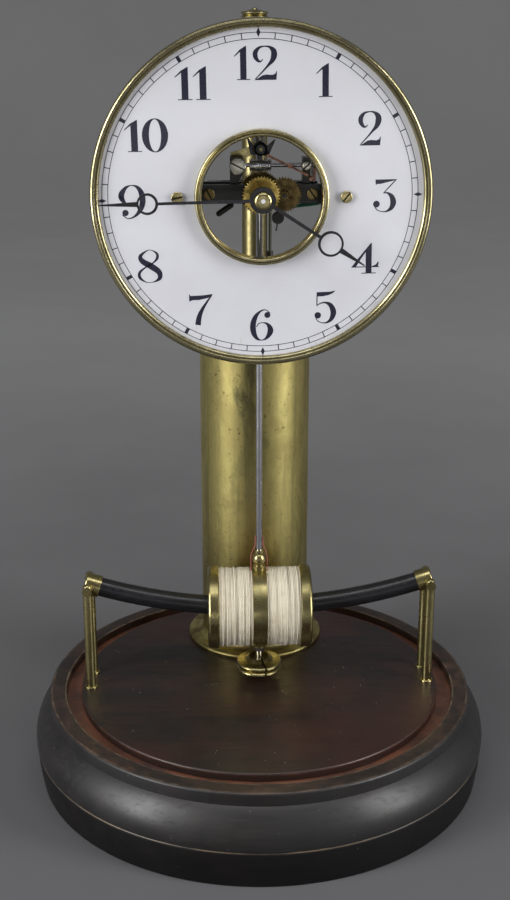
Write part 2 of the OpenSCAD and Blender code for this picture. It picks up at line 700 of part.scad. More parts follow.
module dial_screws() color([0.66, 0.57, 0.31])
    for (side = [-1, 1])
        screw_along_y(side * dial_screw_x, dial_z, dial_y - head_t, dial_y, bar_back, dial_screw_r,
            dial_bolt_r, 50);

// Black bush with a wire pin, below the front bar
module lead_terminal() color([0.05, 0.05, 0.05]) {
    x = 7.1;
    z = dial_z - 13.2;
    bar_along_y(x, z, bar_y + 0.2, bar_y + 2.6, 2.75);
    translate([x, bar_y + 1.4, z]) cylinder(r = 0.7, h = bar_foot - z);
    translate([x - 0.9, bar_y + 1.4, z - 5.8]) rotate([0, 9, 0]) cylinder(r = 0.35, h = 5);
}

// Insulating sleeves: one below the frame, and one where the green lead enters the cap
module lead_sleeve() color([0.05, 0.05, 0.05]) {
    translate([-13.4, bar_back + 1.6, bar_foot - 1.35]) {
        sphere(r = 1.3, $fn = 24);
        rotate([0, -124, 0]) cylinder(r = 1.3, h = 6.6, $fn = 24);
        rotate([0, -124, 0]) translate([0, 0, 6.6]) sphere(r = 1.3, $fn = 24);
    }
    translate([lead_x, column_y, cap_top]) ring(sleeve_wall + lead_r, lead_r + seat_gap, 4);
}

// The lead runs under the bars and the yoke's right arm, then down the upper tube into the cap
module green_lead() color([0.1, 0.4, 0.32])
    swept(softened(softened([[14.5, bar_back + 1.8, bar_foot - 2], [28.2, bar_back + 3, bar_foot - 0.7],
        [28.2, yoke_y + 2.5, bar_foot - 0.8], [20, yoke_y + 9, bar_foot - 1.3],
        [20, column_y - 24, bar_foot - 1.3], [lead_x + 1, column_y - 3, bar_foot - 3],
        [lead_x, column_y, bar_foot - 9], [lead_x, column_y, cap_top + 6],
        [lead_x, column_y, cap_top]])), lead_r);

module suspension_spring() color([0.7, 0.72, 0.75])
    translate([-strip_t / 2, pendulum_y - strip_w / 2, chop_top])
        cube([strip_t, strip_w, suspension_z + strip_up - chop_top]);

module suspension_chop() color([0.6, 0.51, 0.27])
    difference() {
        translate([-3, pendulum_y - 3, chop_top - chop_h]) cube([6, 6, chop_h]);
        translate([0, pendulum_y, chop_top - chop_h - 1]) cylinder(r = rod_r + seat_gap, h = 5);
    }

module pendulum_rod() color([0.75, 0.76, 0.78])
    translate([0, pendulum_y, band_boss_top])
        cylinder(r = rod_r, h = chop_top - chop_h + 4 - band_boss_top);

module contact_pin() color([0.78, 0.78, 0.76]) {
    difference() {
        translate([0, pendulum_y, pin_z - 2]) cylinder(r = 2.8, h = 4);
        translate([0, pendulum_y, pin_z - 3]) cylinder(r = rod_r + seat_gap, h = 6);
    }
    bar_along_y(0, pin_z, fork_y - 0.5, pendulum_y - rod_r - 0.6, 0.5);
}

module rod_ball() color([0.64, 0.55, 0.3])
    difference() {
        union() {
            translate([0, pendulum_y, ball_z]) sphere(r = ball_r);
            translate([0, pendulum_y, band_boss_top]) cylinder(r = 2.4, h = 1.2);
            translate([0, pendulum_y, ball_z + ball_r - 0.5]) cylinder(r = 2.5, h = 1.8);
        }
        translate([0, pendulum_y, band_boss_top - 1]) cylinder(r = rod_r + seat_gap, h = 3 * ball_r);
    }

module along_coil(x0) {
    translate([x0, pendulum_y, arc_z]) rotate([0, 90, 0]) children();
}

module coil_tube() color([0.6, 0.51, 0.27])
    along_coil(-coil_len / 2) ring(sleeve_r, coil_bore_r, coil_len, $fn = fine);

module coil_cheeks() color([0.62, 0.53, 0.28])
    for (side = [-1, 1]) translate([side * coil_len / 2, pendulum_y, arc_z]) rotate([0, -side * 90, 0])
        rotate_extrude($fn = fine) polygon(concat(
            [[sleeve_r + seat_gap, 0], [cheek_r - 1.6, 0]],
            arc_points([cheek_r - 1.6, 1.6], 1.6, -90, 0, 5),
            [[cheek_r, cheek_t - 0.4], [cheek_r - 0.4, cheek_t], [sleeve_r + seat_gap, cheek_t]]));

module coil_band() color([0.62, 0.53, 0.28])
    difference() {
        union() {
            along_coil(-band_w / 2) cylinder(r = cheek_r, h = band_w, $fn = fine);
            translate([0, pendulum_y, band_boss_foot])
                cylinder(r = band_boss_r, h = band_boss_top - band_boss_foot);
        }
        along_coil(-band_w / 2 - 1) cylinder(r = sleeve_r + seat_gap, h = band_w + 2, $fn = fine);
    }

module winding(side) {
    along_coil(side > 0 ? band_w / 2 : -band_w / 2 - winding_w)
        ring(winding_r, sleeve_r + seat_gap, winding_w, $fn = fine);
}

module winding_left() color([0.8, 0.77, 0.68]) winding(-1);

module winding_right() color([0.8, 0.77, 0.68]) winding(1);

module rating_stem() color([0.7, 0.7, 0.66])
    translate([0, pendulum_y, stem_foot]) {
        cylinder(r = stem_r, h = band_boss_foot - stem_foot);
        translate([0, 0, band_boss_foot - stem_foot - 1.6]) cylinder(r = band_boss_r, h = 1.6, $fn = 6);
    }

// Two discs with a waist between them, slit so that they grip the stem
module rating_nut() color([0.64, 0.55, 0.3])
    translate([0, pendulum_y, 0]) difference() {
        rotate_extrude($fn = fine) polygon(concat(
            [[0, nut_foot], [nut_r * 0.55, nut_foot], [nut_r * 0.62, nut_foot + nut_h * 0.14]],
            arc_points([nut_r - 1, nut_foot + nut_h * 0.34], 1, -60, 60, 4),
            [[nut_r * 0.84, nut_foot + nut_h * 0.5]],
            arc_points([nut_r - 1, nut_foot + nut_h * 0.66], 1, -60, 60, 4),
            [[nut_r * 0.62, nut_foot + nut_h * 0.84], [nut_r * 0.45, nut_top], [0, nut_top]]));
        translate([0, 0, nut_foot - 1]) cylinder(r = stem_r + run_gap, h = nut_h + 2);
        rotate(nut_slit_angle) translate([0, -nut_slit / 2, nut_foot - 1])
            cube([nut_r + 1, nut_slit, nut_h + 2]);
    }

// Two horns embrace the contact pin that swings with the rod
module contact_fork() color([0.04, 0.04, 0.045])
    difference() {
        union() {
            plate(fork_y, fork_t) translate([0, fork_z]) {
                polygon([[-4.3, -3], [4, -3], [6.9, 3.6], [6.5, 3.9], [3.2, 1.1], [1.4, 2.4],
                    [-1.4, 2.4], [-3, 1.2], [-5.6, 5], [-6.1, 4.8]]);
                circle(r = 2.9);
            }
            bar_along_y(0, fork_z, fork_pipe_front, rear_bar_y - 0.4, fork_pipe_r);
        }
        bar_along_y(0, fork_z, fork_pipe_front - 1, rear_bar_y, fork_stud_r + run_gap);
    }

// The fork's arm runs out to the ratchet wheel and lifts its front teeth
module fork_pawl() color([0.62, 0.4, 0.26]) {
    arm_y = fork_pipe_front + 0.5;
    knee = [13.2, worm_z];
    turn = [22.3, worm_z - 5.2];
    rod = 0.45;
    foot = 0.7;
    pawl_y = worm_y - ratchet_r - 0.8;
    difference() {
        union() {
            bar_along_y(0, fork_z, arm_y - 0.5, arm_y + 0.5, fork_pipe_r + 1);
            plate(arm_y - 0.3, 0.6) polygon([[1, fork_z - 1], [1, fork_z - 2.4],
                [knee[0], knee[1] - rod], [turn[0] + foot, turn[1] - foot],
                [turn[0] + foot, turn[1] + foot], [knee[0], knee[1] + rod]]);
            bar_along_y(knee[0], knee[1], arm_y - 0.8, arm_y + 0.6, 1.1);
        }
        bar_along_y(0, fork_z, arm_y - 1, arm_y + 1, fork_pipe_r + seat_gap);
    }
    bar_along_y(turn[0], turn[1], pawl_y + 0.3, arm_y, rod);
    translate([turn[0] - foot, pawl_y, turn[1] - foot])
        cube([ratchet_x + ratchet_t - turn[0] + foot, 0.6, 2 * foot]);
    translate([ratchet_x, pawl_y, turn[1]]) cube([ratchet_t, 0.6, worm_z - turn[1] - 0.5]);
}

module centre_arbor() color([0.7, 0.7, 0.68])
    bar_along_y(0, dial_z, nut_front_y + 0.6, rear_bar_y + bar_t - 0.2, arbor_r);

module worm_wheel() color([0.5, 0.42, 0.22]) {
    wheel(0, worm_y - 1, 2, arbor_r + seat_gap,
        wheel_points(worm_teeth, worm_wheel_r, 0.3, 0.38, 90, 0.2, 0.06, 0.27));
    translate([0, 0, dial_z]) plate(worm_y - 2, 4) difference() {
        circle(r = 2.6);
        circle(r = arbor_r + seat_gap);
    }
}

module cannon_pinion() color([0.7, 0.7, 0.68]) {
    wheel(0, minute_wheel_y - 0.3, 2.1, arbor_r + seat_gap,
        wheel_points(cannon_teeth, cannon_r, 0.36, 0.5, 0));
    pipe_front = minute_hand_y + hand_t;
    translate([0, 0, dial_z]) plate(pipe_front, minute_wheel_y - 0.3 - pipe_front) difference() {
        circle(r = pipe_r - run_gap);
        circle(r = arbor_r + seat_gap);
    }
}

// A hand drawn upright: boss, bar, eye and tapered point
module hand_outline(length, eye, eye_r, bar_w, bore) {
    difference() {
        union() {
            circle(r = hand_boss_r);
            polygon([[-bar_w / 2, 0], [bar_w / 2, 0], [bar_w * 0.4, eye], [-bar_w * 0.4, eye]]);
            polygon([[-bar_w * 0.75, eye + eye_r * 0.85], [bar_w * 0.75, eye + eye_r * 0.85],
                [0.25, length], [-0.25, length]]);
            translate([0, eye]) circle(r = eye_r);
        }
        translate([0, eye + 0.15]) circle(r = eye_r - 1.05);
        circle(r = bore);
    }
}

module hand(y, angle, length, eye, eye_r, bar_w, bore) {
    translate([0, 0, dial_z]) rotate([0, angle, 0]) plate(y, hand_t)
        hand_outline(length, eye, eye_r, bar_w, bore);
}

module minute_hand() color([0.03, 0.03, 0.035])
    hand(minute_hand_y, minute_angle, minute_len, minute_eye, minute_eye_r, 1.5, arbor_r + seat_gap);

module hour_hand() color([0.03, 0.03, 0.035])
    hand(hour_hand_y, hour_angle, hour_len, hour_eye, hour_eye_r, 1.7, hour_pipe_r + seat_gap);

module hand_nut() color([0.68, 0.59, 0.33])
    about_dial(minute_hand_y) rotate_extrude() polygon(concat(
        [[arbor_r + seat_gap, 0], [3.95, 0], [3.95, 1]],
        arc_points([2.6, 1.2], 1.3, 0, 90, 4),
        [[arbor_r + seat_gap, 2.5]]));

module hour_wheel() color([0.7, 0.58, 0.24]) {
    wheel(0, hour_wheel_y, 1, pipe_r, wheel_points(hour_teeth, hour_wheel_r, 0.32, 0.42, 0, 0.2, 0.04));
    translate([0, 0, dial_z]) plate(hour_hand_y, hour_wheel_y + 1.6 - hour_hand_y) difference() {
        circle(r = hour_pipe_r);
        circle(r = pipe_r);
    }
}

module minute_wheel() color([0.3, 0.24, 0.13]) {
    phase = 180 + 180 / minute_teeth;
    leaf_phase = 180 + 180 / leaf_teeth;
    wheel(stud_x, minute_wheel_y, 1, stud_r + run_gap,
        wheel_points(minute_teeth, minute_wheel_r, 0.32, 0.42, phase));
    wheel(stud_x, hour_wheel_y - 0.3, minute_wheel_y - hour_wheel_y + 0.3, stud_r + run_gap,
        wheel_points(leaf_teeth, leaf_r, 0.34, 0.44, leaf_phase));
}

// An off-centre circle, twisted, gives the worm its thread
module worm_arbor() color([0.66, 0.66, 0.64]) {
    translate([-worm_len / 2, worm_y, worm_z]) rotate([0, 90, 0])
        linear_extrude(worm_len, twist = -360 * worm_turns, slices = 10 * worm_turns, $fn = 18)
            rotate(180 - 180 * worm_turns) translate([worm_depth, 0]) circle(r = worm_r - 0.25, $fn = 18);
    bar_along_x(worm_y, worm_z, left_upright[1] - 1.9, -worm_len / 2 + tiny, arbor_r);
    bar_along_x(worm_y, worm_z, worm_len / 2 - tiny, arbor_end_x, arbor_r);
}

module ratchet_wheel() color([0.66, 0.66, 0.62])
    translate([ratchet_x, worm_y, worm_z]) rotate([0, 90, 0]) {
        linear_extrude(ratchet_t) difference() {
            polygon(ratchet_points(ratchet_teeth, ratchet_r, 0.6));
            circle(r = arbor_r + seat_gap);
            for (i = [0:3]) rotate(45 + 90 * i) translate([4.4, 0]) circle(r = 1.7);
        }
    }

base_baize();
base_plinth();
base_moulding();
dome_rim();
base_disc();
column_foot();
column_tube();
column_cap();
battery_liner();
battery_cell();
battery_terminal();
contact_spring();
upper_tube();
top_knob();
magnet_bar();
magnet_end_caps();
magnet_posts();
magnet_screws();
frame_front_bar();
frame_rear_bar();
frame_yoke();
frame_screws();
pivot_screws();
suspension_arm();
suspension_clamp();
suspension_screw();
fork_cock();
retaining_click();
dial_plate();
dial_bezel();
dial_centre_ring();
dial_pillars();
dial_screws();
lead_terminal();
lead_sleeve();
green_lead();
suspension_spring();
suspension_chop();
pendulum_rod();
contact_pin();
rod_ball();
coil_tube();
coil_cheeks();
coil_band();
winding_left();
winding_right();
rating_stem();
rating_nut();
contact_fork();
fork_pawl();
centre_arbor();
worm_wheel();
cannon_pinion();
minute_hand();
hand_nut();
hour_wheel();
hour_hand();
minute_wheel();
worm_arbor();
ratchet_wheel();
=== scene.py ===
"""Looks of the electromagnetic pendulum clock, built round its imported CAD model. Lengths are in metres."""

import json
import math
import random

import bmesh
import bpy
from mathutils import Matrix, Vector


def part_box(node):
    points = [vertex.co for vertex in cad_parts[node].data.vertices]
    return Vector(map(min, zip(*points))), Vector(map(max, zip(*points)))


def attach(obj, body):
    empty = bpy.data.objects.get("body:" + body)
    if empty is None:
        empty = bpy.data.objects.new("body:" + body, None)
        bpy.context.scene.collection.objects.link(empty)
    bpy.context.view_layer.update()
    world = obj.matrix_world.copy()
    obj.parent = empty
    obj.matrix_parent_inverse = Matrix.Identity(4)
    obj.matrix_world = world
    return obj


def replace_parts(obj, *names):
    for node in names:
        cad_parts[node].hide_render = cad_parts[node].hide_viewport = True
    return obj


MM = 0.001
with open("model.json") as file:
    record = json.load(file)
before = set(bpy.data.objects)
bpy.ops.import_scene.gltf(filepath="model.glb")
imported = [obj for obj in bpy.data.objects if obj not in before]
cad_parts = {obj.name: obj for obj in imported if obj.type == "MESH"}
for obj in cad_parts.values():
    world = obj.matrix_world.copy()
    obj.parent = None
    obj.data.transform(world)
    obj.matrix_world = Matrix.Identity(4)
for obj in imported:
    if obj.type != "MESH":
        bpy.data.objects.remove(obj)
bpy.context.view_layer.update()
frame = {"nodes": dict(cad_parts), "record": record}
nodes = frame["nodes"]


# Places read from the frame

def centre_of(node):
    low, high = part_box(node)
    return (low + high) / 2


DIAL_CENTRE = centre_of("dial_plate")
DIAL_FACE_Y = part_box("dial_plate")[0].y
BAR_LOW, BAR_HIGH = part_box("frame_front_bar")
BAR_SEAT_Y = BAR_HIGH.y - 2.8 * MM
PIVOT_SEAT_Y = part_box("pivot_screws")[1].y
SEAM_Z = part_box("base_plinth")[1].z + 1.3 * MM
GROOVE_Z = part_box("base_disc")[0].z
RIM_TOP_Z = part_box("dome_rim")[1].z
DISC_TOP_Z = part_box("base_disc")[1].z
DISC_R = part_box("base_disc")[1].x
RIM_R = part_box("dome_rim")[1].x
RIM_INNER_R = DISC_R + 7.6 * MM
BASE_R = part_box("base_moulding")[1].x - 1.2 * MM
FORK_STUD = Vector((0.0, 0.0, DIAL_CENTRE.z + 19.6 * MM))
PENDULUM = centre_of("pendulum_rod")
COIL = centre_of("coil_tube")
LEAD_TURN_Z = BAR_LOW.z - 6 * MM
WINDING_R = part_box("winding_left")[1].z - COIL.z


# Node trees

class Finish:
    """One material's node tree, with short calls for the nodes that the finishes share."""

    def __init__(self, name, **settings):
        self.material = bpy.data.materials.new(name)
        self.material.use_nodes = True
        self.tree = self.material.node_tree
        self.shader = self.tree.nodes["Principled BSDF"]
        self.place = self.node("ShaderNodeTexCoord").outputs["Object"]
        for socket, value in settings.items():
            self.shader.inputs[socket.replace("_", " ")].default_value = value

    def node(self, kind, inputs=None, **settings):
        made = self.tree.nodes.new(kind)
        for key, value in settings.items():
            setattr(made, key, value)
        for key, value in (inputs or {}).items():
            if isinstance(value, bpy.types.NodeSocket):
                self.tree.links.new(value, made.inputs[key])
            else:
                made.inputs[key].default_value = value
        return made

    def stretched(self, x, y, z):
        """Object coordinates multiplied by a different number along each axis."""
        return self.node("ShaderNodeVectorMath", {0: self.place, 1: (x, y, z)},
                         operation="MULTIPLY").outputs[0]

    def noise(self, scale, detail=4.0, rough=0.55, vector=None, distortion=0.0):
        inputs = {"Vector": vector or self.place, "Scale": scale, "Detail": detail,
                  "Roughness": rough, "Distortion": distortion}
        return self.node("ShaderNodeTexNoise", inputs).outputs["Fac"]

    def cells(self, scale):
        return self.node("ShaderNodeTexVoronoi", {"Vector": self.place, "Scale": scale}).outputs["Distance"]

    def band(self, value, low, high, to_low=0.0, to_high=1.0):
        """value between low and high becomes to_low to to_high, held outside."""
        inputs = {"Value": value, "From Min": low, "From Max": high, "To Min": to_low, "To Max": to_high}
        return self.node("ShaderNodeMapRange", inputs, interpolation_type="SMOOTHSTEP").outputs["Result"]

    def math(self, operation, a, b=0.0):
        return self.node("ShaderNodeMath", {0: a, 1: b}, operation=operation).outputs[0]

    def mix(self, share, a, b):
        return self.node("ShaderNodeMix", {0: share, 6: a, 7: b}, data_type="RGBA").outputs[2]

    def distance(self, along, centre=(0.0, 0.0, 0.0)):
        """Distance from a line or point: along has 0 for each axis that is left out, and 1 for the others."""
        offset = tuple(-a * c for a, c in zip(along, centre))
        apart = self.node("ShaderNodeVectorMath", {0: self.stretched(*along), 1: offset}, operation="ADD")
        return self.node("ShaderNodeVectorMath", {0: apart.outputs[0]}, operation="LENGTH").outputs["Value"]

    def axis(self, which):
        return self.node("ShaderNodeSeparateXYZ", {0: self.place}).outputs[which]

    def colour(self, value):
        self.tree.links.new(value, self.shader.inputs["Base Color"])

    def rough(self, value):
        self.tree.links.new(value, self.shader.inputs["Roughness"])

    def bump(self, height, depth, strength):
        """A bump of that depth in metres."""
        inputs = {"Height": height, "Distance": depth, "Strength": strength}
        self.tree.links.new(self.node("ShaderNodeBump", inputs).outputs["Normal"], self.shader.inputs["Normal"])


def rgb(red, green, blue):
    return (red, green, blue, 1.0)


# Finishes

def aged_brass(name, bright, dull, rough, mottle=55.0, spots=0.5):
    """Lacquered brass: mottled between two tones, with spots of tarnish and fine scratches."""
    f = Finish(name, Metallic=1.0)
    clouds = f.noise(mottle, 6.0, 0.62)
    fine = f.noise(mottle * 9, 5.0, 0.7)
    tone = f.mix(f.band(clouds, 0.36, 0.66), bright, dull)
    tone = f.mix(f.band(fine, 0.45, 0.75, 0.0, 0.45), tone, dull)
    specks = f.band(f.noise(mottle * 14, 2.0, 0.5), 0.66, 0.74, 0.0, spots)
    tone = f.mix(specks, tone, rgb(0.06, 0.045, 0.02))
    f.colour(tone)
    f.rough(f.math("ADD", f.band(clouds, 0.3, 0.7, rough - 0.07, rough + 0.1),
                   f.band(fine, 0.4, 0.8, 0.0, 0.12)))
    scratches = f.noise(1.0, 3.0, 0.6, f.stretched(900.0, 900.0, 900.0))
    f.bump(f.math("ADD", f.math("MULTIPLY", scratches, 0.5), fine), 0.04 * MM, 0.35)
    return f.material


def column_brass():
    """The column's brass: long vertical stains, a brown mottled foot and dark specks, with a painted reflection
    down the middle of its front and back, dark olive higher up and brown lower down.
    """
    f = Finish("column_brass", Metallic=1.0)
    clouds = f.noise(1.0, 7.0, 0.66, f.stretched(52.0, 52.0, 24.0), 0.4)
    streaks = f.noise(1.0, 6.0, 0.65, f.stretched(170.0, 170.0, 9.0))
    fine = f.noise(620.0, 6.0, 0.75)
    tone = f.mix(f.band(clouds, 0.36, 0.64), rgb(0.66, 0.57, 0.215), rgb(0.40, 0.335, 0.125))
    tone = f.mix(f.band(streaks, 0.46, 0.66, 0.0, 0.6), tone, rgb(0.27, 0.23, 0.095))
    x, z = f.axis(0), f.axis(2)
    # Painted reflection: a dark olive band down the middle of the front and back, darkest high up.
    across = f.math("ABSOLUTE", f.math("ADD", x, 3 * MM))
    ragged = f.math("ADD", across, f.band(clouds, 0.35, 0.65, -7 * MM, 7 * MM))
    middle = f.band(ragged, 4 * MM, 13 * MM, 1.0, 0.0)
    high = f.band(z, 135 * MM, 200 * MM, 0.35, 1.0)
    tone = f.mix(f.math("MULTIPLY", middle, f.math("MULTIPLY", high, 0.85)), tone, rgb(0.075, 0.072, 0.038))
    # Painted reflection: the middle band turns brown lower down.
    low = f.band(z, 150 * MM, 80 * MM)
    tone = f.mix(f.math("MULTIPLY", middle, f.math("MULTIPLY", low, 0.6)), tone, rgb(0.22, 0.12, 0.04))
    foot = f.band(z, 130 * MM, 50 * MM, 0.0, 0.7)
    tone = f.mix(f.math("MULTIPLY", foot, f.band(clouds, 0.38, 0.58)), tone, rgb(0.15, 0.115, 0.045))
    specks = f.band(f.noise(560.0, 3.0, 0.6), 0.62, 0.7, 0.0, 0.75)
    tone = f.mix(f.math("MULTIPLY", specks, f.band(clouds, 0.4, 0.6, 0.2, 1.0)), tone, rgb(0.06, 0.045, 0.02))
    f.colour(tone)
    f.rough(f.math("ADD", f.band(clouds, 0.3, 0.7, 0.3, 0.44), f.band(fine, 0.4, 0.8, 0.0, 0.14)))
    dents = f.noise(95.0, 3.0, 0.5)
    f.bump(f.math("ADD", f.math("MULTIPLY", dents, 2.0), fine), 0.07 * MM, 0.45)
    return f.material


def polished(name, tone, dull, rough, scale=260.0, slot_y=None):
    """Bare metal with fine hair lines and faint dull patches. Behind slot_y it is painted dark: painted shade
    in the screw slots and under the heads.
    """
    f = Finish(name, Metallic=1.0)
    patches = f.noise(scale * 0.35, 4.0, 0.6)
    fine = f.noise(scale * 6, 3.0, 0.6)
    tone = f.mix(f.band(patches, 0.45, 0.75, 0.0, 0.7), tone, dull)
    if slot_y is not None:
        # Painted shade: near black behind slot_y, on the slot floors and the lower sides of the heads.
        painted_slot_shade = f.band(f.axis(1), slot_y - 0.1 * MM, slot_y + 0.1 * MM, 0.0, 0.92)
        tone = f.mix(painted_slot_shade, tone, rgb(0.02, 0.017, 0.012))
    f.colour(tone)
    f.rough(f.math("ADD", f.band(patches, 0.35, 0.7, rough - 0.05, rough + 0.1),
                   f.band(fine, 0.4, 0.8, 0.0, 0.08)))
    f.bump(fine, 0.02 * MM, 0.3)
    return f.material


def lacquered(name, tone, worn, rough, wear):
    """Black lacquer on metal, rubbed through in specks."""
    f = Finish(name, Coat_Weight=0.25, Coat_Roughness=0.2)
    fine = f.noise(420.0, 6.0, 0.65)
    rubbed = f.band(f.noise(714.0, 4.0, 0.7), 0.62, 0.72, 0.0, wear)
    f.colour(f.mix(rubbed, tone, worn))
    f.rough(f.band(fine, 0.3, 0.7, rough - 0.08, rough + 0.14))
    f.bump(fine, 0.05 * MM, 0.4)
    return f.material


def wood_tone(f, dark, warm, grain_scale):
    """Straight grain along X: long streaks, pores and broad clouds."""
    grain = f.noise(1.0, 6.0, 0.6, f.stretched(14.0, grain_scale, grain_scale), 0.6)
    pores = f.noise(1.0, 3.0, 0.5, f.stretched(60.0, grain_scale * 6, grain_scale * 6))
    clouds = f.noise(17.0, 4.0, 0.6)
    tone = f.mix(f.band(grain, 0.35, 0.7), dark, warm)
    tone = f.mix(f.band(clouds, 0.4, 0.7, 0.0, 0.6), tone, dark)
    tone = f.mix(f.band(pores, 0.56, 0.7, 0.0, 0.6), tone, rgb(0.006, 0.004, 0.003))
    return tone, grain, pores


def dusted(f, tone, amount):
    """Pale specks of dust lying on the finish."""
    specks = f.band(f.cells(260.0), 0.09, 0.055, 0.0, 1.0)
    patch = f.band(f.noise(70.0, 3.0, 0.6), 0.5, 0.58, 0.0, amount)
    return f.mix(f.math("MULTIPLY", specks, patch), tone, rgb(0.42, 0.38, 0.33))


def painted_edge_highlight(f, value, at, width, amount):
    """Up to amount near the height `at`, broken up by noise: a painted highlight along an edge."""
    off = f.math("ABSOLUTE", f.math("SUBTRACT", value, at))
    broken = f.band(f.noise(130.0, 5.0, 0.7), 0.42, 0.6, 0.15, 1.0)
    return f.math("MULTIPLY", f.band(off, width, width * 0.25, 0.0, amount), broken)


def ring_line(f, value, at, half, amount):
    """Up to amount where value lies within half of `at`, soft at its sides."""
    off = f.math("ABSOLUTE", f.math("SUBTRACT", value, at))
    return f.band(off, half, half * 0.4, 0.0, amount)


def dark_wood():
    """Ebonised hardwood of the base: black, rubbed brown on the rim's edges, with thin pale lines along the rim
    and a thin pale seam that are painted highlights with some rubbed wear, and painted shade below the seam.
    """
    f = Finish("dark_wood", Coat_Weight=0.3, Coat_Roughness=0.3)
    tone, grain, pores = wood_tone(f, rgb(0.0045, 0.0038, 0.0038), rgb(0.0125, 0.0088, 0.0076), 120.0)
    z = f.axis(2)
    across = f.distance((1.0, 1.0, 0.0))
    inside = f.band(across, RIM_INNER_R + 0.05 * MM, RIM_INNER_R - 0.15 * MM)
    red = f.mix(f.band(f.noise(45.0, 5.0, 0.65), 0.35, 0.7), rgb(0.19, 0.070, 0.036), rgb(0.060, 0.026, 0.018))
    tone = f.mix(f.math("MULTIPLY", inside, f.band(z, GROOVE_Z - 1.5 * MM, GROOVE_Z - 0.5 * MM)), tone, red)
    flat = f.math("MULTIPLY", f.band(z, RIM_TOP_Z - 0.5 * MM, RIM_TOP_Z - 0.2 * MM),
                  f.math("SUBTRACT", 1.0, inside))
    worn = f.band(f.noise(34.0, 6.0, 0.7), 0.38, 0.62, 0.25, 0.9)
    mottle = f.band(f.noise(160.0, 6.0, 0.75), 0.4, 0.62)
    tone = f.mix(f.math("MULTIPLY", flat, worn), tone,
                 f.mix(mottle, rgb(0.022, 0.012, 0.008), rgb(0.074, 0.036, 0.021)))
    # Painted highlights with some rubbed wear: pale lines near the rim's inner and outer edges.
    broken = f.band(f.noise(120.0, 6.0, 0.75), 0.42, 0.62, 0.1, 1.0)
    lines = f.math("MAXIMUM", ring_line(f, across, RIM_INNER_R + 0.5 * MM, 0.5 * MM, 0.8),
                   ring_line(f, across, RIM_R - 1.1 * MM, 0.6 * MM, 0.4))
    lines = f.math("MULTIPLY", lines, f.math("MULTIPLY", broken, flat))
    # Painted highlight with some rubbed wear: a pale line on the plinth's rounded top, at the seam.
    seam = f.math("MULTIPLY", ring_line(f, z, SEAM_Z - 0.35 * MM, 0.42 * MM, 0.7),
                  f.band(f.noise(48.0, 5.0, 0.7), 0.36, 0.62, 0.15, 1.0))
    tone = f.mix(f.math("MAXIMUM", lines, seam), tone, rgb(0.22, 0.155, 0.095))
    # Painted shade: darker below the seam, under the swelling of the moulding.
    tone = f.mix(f.band(z, SEAM_Z - 0.3 * MM, SEAM_Z - 1.2 * MM, 0.0, 0.55), tone, rgb(0.002, 0.002, 0.002))
    scratch = f.band(f.noise(1.0, 5.0, 0.7, f.stretched(70.0, 70.0, 900.0), 1.2), 0.66, 0.72, 0.0, 0.2)
    tone = dusted(f, f.mix(scratch, tone, rgb(0.07, 0.055, 0.045)), 0.3)
    f.colour(tone)
    f.rough(f.math("ADD", f.band(f.noise(26.0, 5.0, 0.6), 0.3, 0.7, 0.41, 0.6),
                   f.band(pores, 0.5, 0.7, 0.0, 0.15)))
    f.tree.links.new(f.band(z, SEAM_Z, SEAM_Z - 2 * MM, 0.3, 0.1), f.shader.inputs["Coat Weight"])
    f.tree.links.new(f.band(z, SEAM_Z, SEAM_Z - 2 * MM, 0.6, 0.25), f.shader.inputs["Specular IOR Level"])
    f.bump(f.math("ADD", f.math("MULTIPLY", pores, -0.6), grain), 0.06 * MM, 0.35)
    return f.material


def disc_wood():
    """The centre disc: dark reddish brown with straight grain, scuffed polish and dust."""
    f = Finish("disc_wood", Coat_Weight=0.3, Coat_Roughness=0.3)
    tone, grain, pores = wood_tone(f, rgb(0.0085, 0.0055, 0.0046), rgb(0.027, 0.0120, 0.0075), 95.0)
    glow = f.band(f.noise(11.0, 4.0, 0.6), 0.42, 0.62, 0.0, 0.7)
    tone = f.mix(glow, tone, rgb(0.044, 0.0145, 0.0085))
    scuff = f.band(f.noise(1.0, 6.0, 0.75, f.stretched(260.0, 900.0, 900.0), 0.8), 0.6, 0.7, 0.0, 0.4)
    tone = f.mix(scuff, tone, rgb(0.060, 0.042, 0.034))
    # Painted highlight: a pale reddish line along the disc's top edge.
    edge = painted_edge_highlight(f, f.axis(2), DISC_TOP_Z - 0.9 * MM, 0.8 * MM, 0.5)
    tone = dusted(f, f.mix(edge, tone, rgb(0.13, 0.05, 0.028)), 0.9)
    f.colour(tone)
    f.rough(f.math("ADD", f.band(f.noise(34.0, 5.0, 0.65), 0.3, 0.7, 0.36, 0.55),
                   f.band(pores, 0.5, 0.7, 0.0, 0.12)))
    f.bump(f.math("ADD", f.math("MULTIPLY", pores, -0.7), grain), 0.07 * MM, 0.4)
    return f.material


